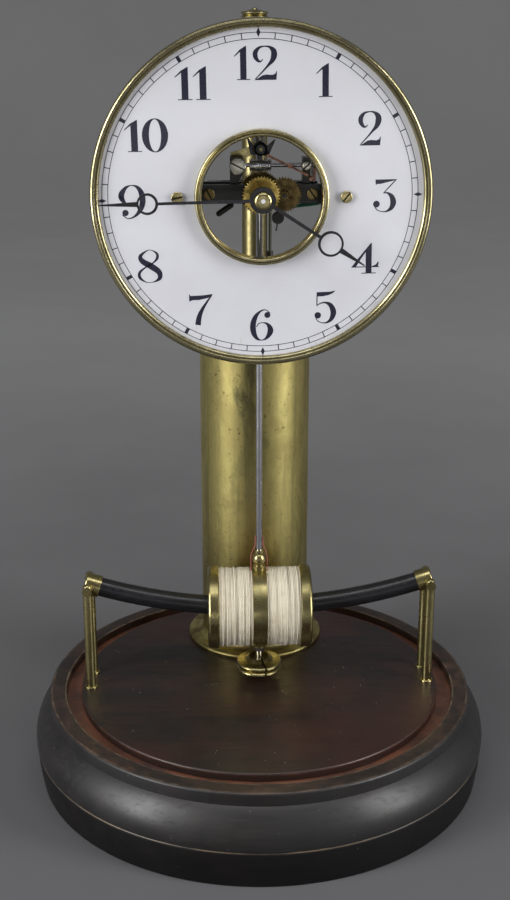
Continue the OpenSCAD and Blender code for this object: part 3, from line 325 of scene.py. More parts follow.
def enamel():
    """Vitreous enamel: a cool white under gloss, with faint clouds, specks and a stain near six, and painted
    shade darkening it towards the top.
    """
    f = Finish("enamel", Coat_Weight=0.6, Coat_Roughness=0.06, IOR=1.5)
    clouds = f.noise(38.0, 5.0, 0.6)
    tone = f.mix(f.band(clouds, 0.35, 0.7), rgb(0.735, 0.735, 0.79), rgb(0.70, 0.70, 0.745))
    # Painted shade: greyer towards the top of the dial.
    upper = f.band(f.axis(2), DIAL_CENTRE.z - 20 * MM, DIAL_CENTRE.z + 75 * MM, 0.0, 0.6)
    tone = f.mix(upper, tone, rgb(0.63, 0.63, 0.665))
    specks = f.band(f.cells(330.0), 0.05, 0.03, 0.0, 1.0)
    patch = f.band(f.noise(75.0, 3.0, 0.6), 0.6, 0.66, 0.0, 0.5)
    tone = f.mix(f.math("MULTIPLY", specks, patch), tone, rgb(0.25, 0.2, 0.17))
    lined = f.noise(1.0, 5.0, 0.7, f.stretched(220.0, 220.0, 60.0), 1.5)
    low = f.band(f.axis(2), DIAL_CENTRE.z - 45 * MM, DIAL_CENTRE.z - 66 * MM)
    stain = f.math("MULTIPLY", f.band(lined, 0.6, 0.68, 0.0, 0.35), low)
    tone = f.mix(stain, tone, rgb(0.55, 0.5, 0.42))
    f.colour(tone)
    f.rough(f.band(clouds, 0.3, 0.7, 0.16, 0.24))
    f.bump(f.noise(90.0, 2.0, 0.5), 0.12 * MM, 0.12)
    return f.material


def ink():
    """Fired blue-black print, level with the enamel's gloss."""
    f = Finish("ink", Coat_Weight=0.5, Coat_Roughness=0.08)
    grain = f.noise(1500.0, 4.0, 0.7)
    f.colour(f.mix(f.band(grain, 0.5, 0.75, 0.0, 0.6), rgb(0.010, 0.010, 0.028), rgb(0.04, 0.04, 0.075)))
    f.rough(f.band(grain, 0.3, 0.7, 0.25, 0.38))
    f.bump(grain, 0.01 * MM, 0.3)
    return f.material


def fork_copper():
    """The fork's arm: bare copper, blackened at the collar round the stud."""
    f = Finish("copper", Metallic=1.0)
    patches = f.noise(420.0, 5.0, 0.6)
    tone = f.mix(f.band(patches, 0.4, 0.7), rgb(0.25, 0.125, 0.085), rgb(0.11, 0.06, 0.04))
    near = f.band(f.distance((1.0, 0.0, 1.0), FORK_STUD), 4.2 * MM, 3.2 * MM)
    f.colour(f.mix(near, tone, rgb(0.012, 0.012, 0.012)))
    f.rough(f.math("ADD", f.band(patches, 0.35, 0.7, 0.2, 0.34), f.math("MULTIPLY", near, 0.2)))
    f.bump(f.noise(1500.0, 3.0, 0.6), 0.02 * MM, 0.3)
    return f.material


def woven(name, light, dark, pitch, rough=0.85):
    """Baize or silk: fine fibres over slow changes of tone."""
    f = Finish(name, Sheen_Weight=0.4, Sheen_Roughness=0.5, Roughness=rough)
    fibre = f.noise(pitch, 3.0, 0.7)
    slow = f.noise(120.0, 5.0, 0.65)
    tone = f.mix(f.band(fibre, 0.35, 0.7), light, dark)
    tone = f.mix(f.band(slow, 0.48, 0.75, 0.0, 0.55), tone, dark)
    f.colour(tone)
    f.bump(fibre, 0.06 * MM, 0.7)
    return f.material


def lead_silk():
    """Green silk, brown with age and dust on the run down beside the upper tube."""
    f = Finish("green_silk", Sheen_Weight=0.4, Sheen_Roughness=0.5, Roughness=0.6)
    fibre = f.noise(5200.0, 3.0, 0.7)
    tone = f.mix(f.band(fibre, 0.35, 0.7), rgb(0.03, 0.30, 0.19), rgb(0.012, 0.15, 0.10))
    aged = f.band(f.axis(2), LEAD_TURN_Z + 2 * MM, LEAD_TURN_Z - 2 * MM)
    worn = f.mix(f.band(fibre, 0.35, 0.7), rgb(0.065, 0.075, 0.045), rgb(0.03, 0.035, 0.022))
    f.colour(f.mix(aged, tone, worn))
    f.bump(fibre, 0.06 * MM, 0.7)
    return f.material


def wound_cotton():
    """Unbleached cotton covering, with painted shade making it browner and darker in the gaps between the
    turns.
    """
    f = Finish("cotton", Sheen_Weight=0.3, Sheen_Roughness=0.5, Roughness=0.85)
    fibre = f.noise(4600.0, 3.0, 0.7)
    slow = f.noise(90.0, 5.0, 0.65)
    tone = f.mix(f.band(fibre, 0.35, 0.7), rgb(0.84, 0.78, 0.63), rgb(0.66, 0.59, 0.44))
    tone = f.mix(f.band(slow, 0.45, 0.72, 0.0, 0.6), tone, rgb(0.58, 0.50, 0.35))
    # Painted shade: dark brown deep between the turns, below their crests.
    gap = f.band(f.distance((0.0, 1.0, 1.0), COIL), WINDING_R - 0.42 * MM, WINDING_R - 0.85 * MM, 0.0, 0.75)
    tone = f.mix(gap, tone, rgb(0.17, 0.13, 0.08))
    f.colour(tone)
    f.bump(fibre, 0.06 * MM, 0.7)
    return f.material


def matte(name, light, dark, scale, rough):
    """Ebonite, card or paper: a fine uneven surface."""
    f = Finish(name)
    fine = f.noise(scale, 6.0, 0.65)
    f.colour(f.mix(f.band(fine, 0.35, 0.7), light, dark))
    f.rough(f.band(fine, 0.3, 0.7, rough - 0.1, rough + 0.1))
    f.bump(fine, 0.05 * MM, 0.5)
    return f.material


BRASS = rgb(0.50, 0.425, 0.20)
OLIVE = rgb(0.24, 0.21, 0.095)

FINISHES = {
    "baize": woven("baize", rgb(0.05, 0.10, 0.045), rgb(0.02, 0.045, 0.02), 2500.0),
    "dark_wood": dark_wood(),
    "red_wood": disc_wood(),
    "column_brass": column_brass(),
    "brass": aged_brass("brass", BRASS, OLIVE, 0.27),
    "wheel_brass": aged_brass("wheel_brass", rgb(0.78, 0.58, 0.17), rgb(0.50, 0.34, 0.09), 0.26, 220.0, 0.3),
    "dark_brass": aged_brass("dark_brass", rgb(0.30, 0.215, 0.085), rgb(0.11, 0.08, 0.035), 0.34, 260.0),
    "cardboard": matte("cardboard", rgb(0.40, 0.29, 0.18), rgb(0.30, 0.21, 0.13), 900.0, 0.8),
    "cell_paper": matte("cell_paper", rgb(0.10, 0.13, 0.24), rgb(0.07, 0.09, 0.18), 500.0, 0.6),
    "magnet": lacquered("magnet", rgb(0.007, 0.007, 0.009), rgb(0.05, 0.045, 0.04), 0.34, 0.3),
    "black_frame": lacquered("black_frame", rgb(0.009, 0.009, 0.008), rgb(0.07, 0.06, 0.04), 0.4, 0.4),
    "nickel": polished("nickel", rgb(0.56, 0.54, 0.46), rgb(0.28, 0.26, 0.20), 0.24),
    "enamel": enamel(),
    "ebonite": matte("ebonite", rgb(0.022, 0.021, 0.020), rgb(0.012, 0.011, 0.011), 900.0, 0.42),
    "green_silk": lead_silk(),
    "steel": polished("steel", rgb(0.70, 0.70, 0.72), rgb(0.48, 0.47, 0.47), 0.14),
    "cotton": wound_cotton(),
    "black_steel": lacquered("black_steel", rgb(0.008, 0.008, 0.011), rgb(0.04, 0.04, 0.05), 0.3, 0.3),
    "copper": fork_copper(),
}
BEZEL = aged_brass("bezel_brass", rgb(0.50, 0.445, 0.26), rgb(0.27, 0.24, 0.13), 0.22, 45.0, 0.35)
# The last number of each screw finish is the depth behind which its painted shade starts.
SCREW_BRASS = polished("screw_brass", rgb(0.62, 0.53, 0.26), rgb(0.36, 0.30, 0.13), 0.24, 500.0,
                       DIAL_FACE_Y - 0.8 * MM)
SCREW_DARK = polished("screw_dark", rgb(0.27, 0.20, 0.085), rgb(0.11, 0.08, 0.035), 0.34, 500.0,
                      BAR_SEAT_Y - 0.8 * MM)
SCREW_NICKEL = polished("screw_nickel", rgb(0.56, 0.54, 0.46), rgb(0.28, 0.26, 0.20), 0.24, 260.0,
                        PIVOT_SEAT_Y - 1.25 * MM)
INK = ink()
RED_SILK = woven("red_silk", rgb(0.48, 0.13, 0.10), rgb(0.28, 0.06, 0.045), 5200.0, 0.6)


def dress_cad_nodes():
    """Gives each CAD node the finish of its material slot."""
    special = {"dial_bezel": BEZEL, "dial_centre_ring": BEZEL, "fork_cock": FINISHES["brass"]}
    for part in frame["record"]["subparts"]:
        finish = special.get(part["node"], FINISHES[part["material_slot"]])
        mesh = nodes[part["node"]].data
        mesh.materials.clear()
        mesh.materials.append(finish)


# Meshes

def new_piece(name, mesh, finish, body):
    """Links a mesh as a piece of the object, riding on a body."""
    mesh.materials.clear()
    mesh.materials.append(finish)
    made = bpy.data.objects.new(name, mesh)
    bpy.context.scene.collection.objects.link(made)
    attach(made, body)
    return made


def mesh_of(name, points, faces, smooth=False):
    """A mesh whose normals all point outwards."""
    mesh = bpy.data.meshes.new(name)
    mesh.from_pydata(points, [], faces)
    work = bmesh.new()
    work.from_mesh(mesh)
    bmesh.ops.recalc_face_normals(work, faces=work.faces)
    work.to_mesh(mesh)
    work.free()
    if smooth:
        mesh.shade_smooth()
    return mesh


# Dial printing. A glyph is drawn in a box from 0 to 1 both ways, with stroke widths in millimetres

PRINT_TOP = 0.03 * MM
PRINT_SINK = 0.05 * MM


def ribbon(line, widths, closed):
    """Corners of a flat band along a line: each point of the line moved to both sides."""
    left, right = [], []
    count = len(line)
    for i, (x, z) in enumerate(line):
        before = line[i - 1] if i or closed else line[i]
        after = line[(i + 1) % count] if i < count - 1 or closed else line[i]
        way = Vector((after[0] - before[0], after[1] - before[1])).normalized()
        half = widths[i] / 2
        left.append((x - way.y * half, z + way.x * half))
        right.append((x + way.y * half, z - way.x * half))
    return left, right


def smooth_line(points, closed=False):
    """A Catmull-Rom curve through points of any dimension."""
    steps = 8
    count = len(points)
    spans = count if closed else count - 1
    line = []
    for i in range(spans):
        if closed:
            p = [points[(i + k) % count] for k in (-1, 0, 1, 2)]
        else:
            p = [points[min(max(i + k, 0), count - 1)] for k in (-1, 0, 1, 2)]
        for s in range(steps):
            t = s / steps
            line.append(tuple(
                0.5 * (2 * b + (c - a) * t + (2 * a - 5 * b + 4 * c - d) * t * t
                       + (3 * b - a - 3 * c + d) * t * t * t)
                for a, b, c, d in zip(*p)))
    if not closed:
        line.append(tuple(points[-1]))
    return line


class Print:
    """Flat ink shapes on the dial, joined into one closed solid. With a width and a height the
    shapes are drawn in a unit box, which is scaled to them round its middle."""

    def __init__(self, wide=None, high=None):
        self.solids = []
        self.size = (wide, high)

    def scaled(self, x, z):
        wide, high = self.size
        return ((x - 0.5) * wide, (z - 0.5) * high) if wide else (x, z)

    def band(self, left, right, closed=False):
        left = [self.scaled(*q) for q in left]
        right = [self.scaled(*q) for q in right]
        return self.joined(left, right, closed)

    def joined(self, left, right, closed):
        count = len(left)
        points = []
        for one_side, other_side in zip(left, right):
            points += [(*one_side, 0), (*other_side, 0), (*other_side, 1), (*one_side, 1)]
        faces = []
        for i in range(count if closed else count - 1):
            a, b = 4 * i, 4 * ((i + 1) % count)
            faces += [(a + k, a + (k + 1) % 4, b + (k + 1) % 4, b + k) for k in range(4)]
        if not closed:
            faces += [(0, 1, 2, 3), (4 * count - 4, 4 * count - 3, 4 * count - 2, 4 * count - 1)]
        self.solids.append((points, faces))
        return self

    def stroke(self, points, closed=False):
        """A curved stroke through points of x, z and width."""
        line = smooth_line([(*self.scaled(x, z), width) for x, z, width in points], closed)
        return self.joined(*ribbon([p[:2] for p in line], [p[2] for p in line], closed), closed)

    def shape(self, outline):
        outline = [self.scaled(*q) for q in outline]
        return self.plain(outline)

    def plain(self, outline):
        count = len(outline)
        points = [(x, z, 0) for x, z in outline] + [(x, z, 1) for x, z in outline]
        faces = [tuple(range(count)), tuple(range(count, 2 * count))]
        faces += [(i, (i + 1) % count, count + (i + 1) % count, count + i) for i in range(count)]
        self.solids.append((points, faces))
        return self

    def disc(self, x, z, r):
        steps = 20
        x, z = self.scaled(x, z)
        turns = [2 * math.pi * i / steps for i in range(steps)]
        return self.plain([(x + r * math.cos(a), z + r * math.sin(a)) for a in turns])

    def mesh(self, name, place):
        """One mesh of all shapes. place turns a flat point into one in the frame's X and Z."""
        made = None
        for points, faces in self.solids:
            solid = []
            for x, z, high in points:
                px, pz = place(x, z)
                solid.append((px, DIAL_FACE_Y - PRINT_TOP if high else DIAL_FACE_Y + PRINT_SINK, pz))
            part = mesh_of(name, solid, faces)
            made = part if made is None else union(made, part)
        return made


def union(one, other):
    return joined(one, other, "UNION")


def joined(one, other, how):
    """The union or the difference of two closed meshes."""
    holders = []
    for mesh in (one, other):
        holder = bpy.data.objects.new("holder", mesh)
        bpy.context.scene.collection.objects.link(holder)
        holders.append(holder)
    cut = holders[0].modifiers.new("cut", "BOOLEAN")
    cut.operation = how
    cut.solver = "MANIFOLD"
    cut.object = holders[1]
    shown = holders[0].evaluated_get(bpy.context.evaluated_depsgraph_get())
    made = bpy.data.meshes.new_from_object(shown)
    for holder in holders:
        bpy.data.objects.remove(holder)
    return made


HAIR = 0.42
DIAL_TURN = math.radians(-0.9)
PRINT_X = -0.58 * MM
PRINT_Z = -0.1 * MM
TRACK_OUT = 70.0 * MM
TRACK_IN = 67.4 * MM
TRACK_LINE = 0.3 * MM


def one(p):
    p.shape([(0.38, 0.0), (0.77, 0.0), (0.77, 1.0), (0.70, 0.985), (0.38, 0.89)])
    p.shape([(0.17, 0.0), (1.0, 0.0), (1.0, 0.028), (0.17, 0.028)])
    p.shape([(0.0, 0.70), (0.03, 0.68), (0.40, 0.83), (0.74, 0.97), (0.70, 0.985), (0.36, 0.885)])


def two(p):
    p.stroke([(0.50, 0.985, HAIR), (0.28, 0.95, 1.0), (0.12, 0.83, 1.9), (0.10, 0.70, 2.0), (0.19, 0.58, 1.4),
              (0.31, 0.54, 0.7), (0.41, 0.60, HAIR)])
    p.stroke([(0.48, 0.985, HAIR), (0.69, 0.96, 1.0), (0.86, 0.85, 2.3), (0.88, 0.71, 2.6), (0.80, 0.56, 1.9),
              (0.60, 0.40, 0.9), (0.35, 0.21, 0.6), (0.09, 0.03, HAIR)])
    p.shape([(0.04, 0.0), (0.97, 0.0), (1.0, 0.25), (0.965, 0.25), (0.93, 0.18), (0.80, 0.145), (0.56, 0.16),
             (0.40, 0.14), (0.22, 0.06)])


def three(p):
    p.shape([(0.11, 1.0), (0.125, 0.84), (0.155, 0.84), (0.18, 0.865), (0.34, 0.865), (0.62, 0.915),
             (1.0, 0.975), (1.0, 1.0)])
    p.stroke([(0.975, 0.985, HAIR), (0.72, 0.79, 0.5), (0.45, 0.575, HAIR)])
    p.stroke([(0.45, 0.585, HAIR), (0.62, 0.585, 0.8), (0.79, 0.48, 2.0), (0.865, 0.30, 2.6), (0.79, 0.13, 1.9),
              (0.60, 0.025, 0.8), (0.42, 0.015, HAIR), (0.20, 0.07, HAIR), (0.055, 0.22, HAIR)])
    p.disc(0.165, 0.25, 1.5)


def four(p):
    p.shape([(0.517, 0.0), (0.733, 0.0), (0.733, 1.0), (0.69, 0.985), (0.517, 0.79)])
    p.shape([(0.0, 0.215), (0.17, 0.225), (0.30, 0.42), (0.70, 0.945), (0.69, 0.985), (0.22, 0.47)])
    p.shape([(0.0, 0.205), (1.0, 0.205), (1.0, 0.235), (0.0, 0.235)])
    p.shape([(0.72, 0.21), (0.95, 0.21), (1.0, 0.38), (0.965, 0.38), (0.88, 0.29), (0.78, 0.25)])
    p.shape([(0.36, 0.0), (0.89, 0.0), (0.89, 0.028), (0.36, 0.028)])


def five(p):
    p.shape([(0.105, 0.965), (0.125, 0.835), (0.36, 0.835), (0.62, 0.865), (0.83, 0.925), (0.96, 1.0),
             (0.91, 1.0), (0.72, 0.972), (0.40, 0.97)])
    p.stroke([(0.125, 0.96, HAIR), (0.115, 0.76, 0.5), (0.11, 0.545, HAIR)])
    p.stroke([(0.105, 0.55, HAIR), (0.27, 0.62, 0.5), (0.50, 0.64, 0.9), (0.74, 0.55, 2.0), (0.86, 0.34, 2.6),
              (0.77, 0.13, 1.9), (0.56, 0.02, 0.8), (0.34, 0.015, HAIR), (0.14, 0.08, HAIR),
              (0.035, 0.22, HAIR)])
    p.disc(0.15, 0.25, 1.5)


def curl(p, turn):
    """The six, or the nine when turn is -1: a thick back, a round bowl and a thin hook with a ball."""
    def at(points):
        return [(0.5 + turn * (x - 0.5), 0.5 + turn * (z - 0.5), w) for x, z, w in points]
    p.stroke(at([(0.86, 0.88, HAIR), (0.67, 0.985, HAIR), (0.43, 0.93, 0.9), (0.22, 0.75, 2.0),
                 (0.12, 0.50, 2.6), (0.15, 0.25, 2.4), (0.29, 0.07, 1.4), (0.49, 0.015, HAIR),
                 (0.70, 0.08, 1.3), (0.86, 0.26, 2.5), (0.86, 0.40, 2.3), (0.74, 0.53, 1.2),
                 (0.56, 0.575, HAIR), (0.38, 0.55, HAIR), (0.27, 0.45, HAIR)]))
    x, z, _ = at([(0.75, 0.82, 0)])[0]
    p.disc(x, z, 1.4)


def six(p):
    curl(p, 1)


def seven(p):
    p.shape([(0.0, 1.0), (0.03, 1.0), (0.06, 0.95), (0.30, 0.955), (0.60, 0.965), (1.0, 1.0), (0.96, 0.93),
             (0.78, 0.87), (0.45, 0.82), (0.12, 0.81), (0.05, 0.785), (0.0, 0.775)])
    p.stroke([(0.965, 0.965, 0.6), (0.76, 0.75, 0.9), (0.56, 0.52, 1.5), (0.41, 0.27, 2.2), (0.345, 0.0, 2.6)])


def eight(p):
    p.stroke([(0.42, 0.985, HAIR), (0.62, 0.98, HAIR), (0.79, 0.88, 1.1), (0.79, 0.74, 1.2), (0.62, 0.60, 0.6),
              (0.34, 0.475, 0.6), (0.10, 0.32, 1.2), (0.10, 0.15, 1.3), (0.34, 0.015, HAIR),
              (0.62, 0.015, HAIR), (0.86, 0.13, 1.8), (0.84, 0.32, 2.5), (0.55, 0.50, 2.8), (0.22, 0.66, 2.4),
              (0.15, 0.82, 1.6)], closed=True)


def nine(p):
    curl(p, -1)


def nought(p):
    turns = [2 * math.pi * i / 40 for i in range(40)]
    p.band([(0.5 + 0.23 * math.cos(a), 0.5 + 0.472 * math.sin(a)) for a in turns],
           [(0.5 + 0.5 * math.cos(a), 0.5 + 0.5 * math.sin(a)) for a in turns], closed=True)


# Each figure: its name, then glyphs with the middle, width and height in millimetres from the dial's centre
FIGURES = [
    ("12", (one, -8.65, 57.3, 6.9, 14.2), (two, 1.2, 57.3, 10.3, 14.2)),
    ("1", (one, 26.9, 50.1, 7.1, 14.2)),
    ("2", (two, 47.1, 29.7, 9.9, 14.7)),
    ("3", (three, 54.5, 0.4, 10.7, 14.4)),
    ("4", (four, 46.6, -27.5, 12.5, 13.9)),
    ("5", (five, 29.0, -49.7, 10.0, 14.9)),
    ("6", (six, 0.0, -57.8, 10.5, 14.5)),
    ("7", (seven, -27.5, -50.4, 10.6, 14.2)),
    ("8", (eight, -50.2, -30.4, 11.5, 14.7)),
    ("9", (nine, -57.4, -1.7, 12.3, 14.9)),
    ("10", (one, -56.2, 26.8, 7.5, 13.7), (nought, -46.6, 27.0, 11.4, 14.5)),
    ("11", (one, -33.9, 48.8, 7.5, 13.9), (one, -26.1, 48.95, 7.5, 14.1)),
]


def on_dial(radius, turn):
    """A point of the dial at a radius and an angle clockwise from twelve."""
    a = turn + DIAL_TURN
    return DIAL_CENTRE.x + PRINT_X + radius * math.sin(a), DIAL_CENTRE.z + PRINT_Z + radius * math.cos(a)


def hour_figures():
    """The twelve hour figures, all turned with the dial."""
    c, s = math.cos(DIAL_TURN), math.sin(DIAL_TURN)
    for name, *glyphs in FIGURES:
        made = None
        for draw, x0, z0, wide, high in glyphs:
            p = Print(wide, high)
            draw(p)

            def place(x, z, x0=x0, z0=z0):
                return (DIAL_CENTRE.x + (x0 + x * c + z * s) * MM, DIAL_CENTRE.z + (z0 - x * s + z * c) * MM)

            part = p.mesh("figure", place)
            made = part if made is None else union(made, part)
        new_piece("figure_" + name, made, INK, "clock")


def minute_track():
    """Two circles with a tick for each minute, a bar for each five and a diamond for each quarter."""
    p = Print()
    circle = [2 * math.pi * i / 240 for i in range(240)]
    for radius in (TRACK_OUT, TRACK_IN):
        inner, outer = radius - TRACK_LINE / 2, radius + TRACK_LINE / 2
        p.band([(inner, a) for a in circle], [(outer, a) for a in circle], closed=True)
    for minute in range(60):
        a = 2 * math.pi * minute / 60
        if minute % 15 == 0:
            long, half = 2.0 * MM, 0.9 * MM / TRACK_OUT
            p.shape([(TRACK_OUT - long, a), (TRACK_OUT, a + half),
                     (TRACK_OUT + long, a), (TRACK_OUT, a - half)])
        else:
            half = (1.6 if minute % 5 == 0 else 0.42) * MM / TRACK_OUT / 2
            p.shape([(TRACK_IN, a - half), (TRACK_OUT, a - half), (TRACK_OUT, a + half), (TRACK_IN, a + half)])
    new_piece("minute_track", p.mesh("minute_track", on_dial), INK, "clock")


# Windings and turned pieces

def turned_faces(count, steps):
    """The faces between neighbouring copies of a closed profile of count points."""
    faces = []
    for s in range(steps):
        a, b = s * count, ((s + 1) % steps) * count
        faces += [(a + i, a + (i + 1) % count, b + (i + 1) % count, b + i) for i in range(count)]
    return faces


def winding(side):
    """Cotton-covered wire in close turns, a little uneven, with a few turns proud."""
    node = "winding_right" if side > 0 else "winding_left"
    low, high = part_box(node)
    draw = random.Random(11 if side > 0 else 5)
    turns, wire_steps = 23, 6
    gap = 0.03 * MM
    pitch = (high.x - low.x - 2 * gap) / turns
    wire_r = pitch / 2
    crest = WINDING_R - 0.25 * MM
    inner = 8.9 * MM
    profile, waves = [], []
    for t in range(turns):
        lift = draw.uniform(-0.3, 0.06) * MM
        lean = draw.uniform(0.06, 0.26) * MM
        start = draw.uniform(0, 2 * math.pi)
        if draw.random() < 0.2:
            lift += 0.18 * MM
        for k in range(wire_steps):
            a = math.pi * (1 - (k + 0.5) / wire_steps)
            profile.append((low.x - COIL.x + gap + (t + 0.5) * pitch + wire_r * math.cos(a),
                            crest - wire_r + lift + wire_r * math.sin(a)))
            waves.append((lean, start))
    profile += [(high.x - COIL.x - 0.02 * MM, inner), (low.x - COIL.x + 0.02 * MM, inner)]
    waves += [(0.0, 0.0), (0.0, 0.0)]

    def wobble(i, a):
        lean, start = waves[i]
        return lean * 0.5 * math.sin(a + start), lean * 0.4 * math.sin(2 * a + start)

    steps = 120
    points = []
    for s in range(steps):
        a = 2 * math.pi * s / steps
        for i, (x, r) in enumerate(profile):
            dx, dr = wobble(i, a)
            points.append((COIL.x + x + dx, COIL.y + (r + dr) * math.sin(a), COIL.z + (r + dr) * math.cos(a)))
    mesh = mesh_of(node, points, turned_faces(len(profile), steps), smooth=True)
    made = new_piece("cotton_" + node, mesh, FINISHES["cotton"], "pendulum")
    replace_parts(made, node)


def arc(x, z, r, start, end, steps):
    """Points of an arc round (x, z), angles in degrees."""
    turns = [math.radians(start + (end - start) * i / steps) for i in range(steps + 1)]
    return [(x + r * math.cos(a), z + r * math.sin(a)) for a in turns]


def turned_about_z(name, profile, node):
    """A closed profile of radius and height turned round the base's axis, in place of a CAD node."""
    steps = 180
    points = []
    for s in range(steps):
        a = 2 * math.pi * s / steps
        points += [(r * math.cos(a), r * math.sin(a), z) for r, z in profile]
    mesh = mesh_of(name, points, turned_faces(len(profile), steps), smooth=True)
    mesh.set_sharp_from_angle(angle=math.radians(38))
    made = new_piece(name, mesh, FINISHES["dark_wood"], "clock")
    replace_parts(made, node)


def turned_base():
    """The wooden base: tapered plinth, one swelling from the neck to the seam, and a flat rim."""
    core = 3 * MM
    foot_r, top_r, belly = BASE_R - 2.4 * MM, BASE_R - 0.4 * MM, 0.3 * MM
    foot_round, top_round, seam_t = 0.8 * MM, 0.6 * MM, 0.6 * MM
    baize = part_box("base_baize")[1]
    recess_r, recess_z = baize.x + 0.03 * MM, baize.z + 0.03 * MM
    plinth = [(core, recess_z), (recess_r, recess_z), (recess_r, 0.0)]
    plinth += arc(foot_r - foot_round, foot_round, foot_round, -90, 0, 4)
    plinth += [((foot_r + top_r) / 2 + belly, SEAM_Z / 2)]
    plinth += arc(top_r - top_round, SEAM_Z - top_round, top_round, 0, 90, 4) + [(core, SEAM_Z)]
    turned_about_z("turned_plinth", plinth, "base_plinth")
    widest, neck = SEAM_Z + 2.8 * MM, GROOVE_Z - 2.3 * MM
    out, high = BASE_R - RIM_R, neck - widest
    r = (out * out + high * high) / (2 * out)
    low = -math.degrees(math.asin((widest - SEAM_Z - seam_t) / r))
    seam_r = BASE_R - 1.6 * MM
    swelling = [(core, SEAM_Z), (seam_r, SEAM_Z), (seam_r, SEAM_Z + seam_t)]
    swelling += arc(BASE_R - r, widest, r, low, math.degrees(math.asin(high / r)), 24)
    swelling += [(RIM_R, GROOVE_Z), (core, GROOVE_Z)]
    turned_about_z("turned_moulding", swelling, "base_moulding")
    outer_round, inner_round = 1.2 * MM, 0.5 * MM
    rim = [(RIM_INNER_R, GROOVE_Z), (RIM_R, GROOVE_Z)]
    rim += arc(RIM_R - outer_round, RIM_TOP_Z - outer_round, outer_round, 0, 90, 6)
    rim += arc(RIM_INNER_R + inner_round, RIM_TOP_Z - inner_round, inner_round, 90, 180, 3)
    turned_about_z("turned_rim", rim, "dome_rim")


def turned_about(name, profile, at, way, steps=40):
    """A closed profile of distance and radius turned round a line through `at` along `way`."""
    turn = Vector((0, 0, 1)).rotation_difference(Vector(way))
    points = []
    for s in range(steps):
        a = 2 * math.pi * s / steps
        points += [Vector(at) + turn @ Vector((r * math.cos(a), r * math.sin(a), d)) for d, r in profile]
    return mesh_of(name, [tuple(p) for p in points], turned_faces(len(profile), steps))


def joined_all(meshes, sharp=35):
    """The union of several meshes, smooth where two faces meet at less than `sharp` degrees."""
    made = meshes[0]
    for mesh in meshes[1:]:
        made = union(made, mesh)
    made.shade_smooth()
    made.set_sharp_from_angle(angle=math.radians(sharp))
    return made


def slotted_screw(at, way, head_r, head_t, shank_r, length, slot_turn):
    """A screw whose head is rounded at its edge and slotted; `at` is its seat, `way` points outwards."""
    core, edge, chamfer = 0.02 * MM, 0.45 * MM, 0.1 * MM
    profile = [(head_t, core)] + [(d, r) for r, d in arc(head_r - edge, head_t - edge, edge, 90, 0, 5)]
    profile += [(chamfer, head_r), (0.0, head_r - chamfer)]
    profile += [(0.0, shank_r), (-length, shank_r), (-length, core)]
    screw = turned_about("screw", profile, at, way)
    out = Vector(way)
    side = Vector((math.cos(slot_turn), 0.0, math.sin(slot_turn)))
    up = out.cross(side)
    long, half, deep, above = head_r * 1.3, 0.38 * MM, 0.95 * MM, 0.2 * MM
    top = Vector(at) + out * (head_t + above)
    low = Vector(at) + out * (head_t - deep)
    corners = [tuple(p + side * (i * long) + up * (j * half)) for p in (low, top) for i, j in
               ((-1, -1), (1, -1), (1, 1), (-1, 1))]
    faces = [(0, 1, 2, 3), (4, 5, 6, 7), (0, 1, 5, 4), (1, 2, 6, 5), (2, 3, 7, 6), (3, 0, 4, 7)]
    return joined(screw, mesh_of("slot", corners, faces), "DIFFERENCE")


def screw_piece(name, node, finish, screws):
    """Several screws as one piece, in place of a CAD node."""
    made = joined_all([slotted_screw(*screw) for screw in screws], 30)
    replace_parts(new_piece(name, made, finish, "clock"), node)


def screws():
    """The slotted screws of the dial, the bars and the worm's bearings."""
    z, front = DIAL_CENTRE.z, (0, -1, 0)
    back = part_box("frame_screws")[1].y
    dial_x, pillar_x = 37.5 * MM, 23.3 * MM
    head_t = 1.5 * MM
    screw_piece("slotted_dial_screws", "dial_screws", SCREW_BRASS, [
        ((-dial_x, DIAL_FACE_Y, z), front, 2.65 * MM, head_t, 1.2 * MM, 13 * MM, math.radians(14)),
        ((dial_x, DIAL_FACE_Y, z), front, 2.65 * MM, head_t, 1.2 * MM, 13 * MM, math.radians(52))])
    screw_piece("slotted_frame_screws", "frame_screws", SCREW_DARK, [
        ((-pillar_x, BAR_SEAT_Y, z), front, 2.6 * MM, head_t, 1.0 * MM, 16 * MM, math.radians(-62)),
        ((pillar_x, BAR_SEAT_Y, z), front, 2.6 * MM, head_t, 1.0 * MM, 16 * MM, math.radians(-55)),
        ((0.0, back - head_t, z), (0, 1, 0), 2.85 * MM, head_t, 1.5 * MM, 4 * MM, math.radians(20))])
    low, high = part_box("pivot_screws")
    large, small = 3.75 * MM, 2.0 * MM
    worm_z = low.z + large
    screw_piece("slotted_pivot_screws", "pivot_screws", SCREW_NICKEL, [
        ((low.x + large, PIVOT_SEAT_Y, worm_z), front, large, 2.0 * MM, 1.0 * MM, 0.1 * MM, math.radians(-27)),
        ((high.x - small, PIVOT_SEAT_Y, worm_z), front, small, 1.6 * MM, 1.0 * MM, 0.1 * MM, math.radians(40))])


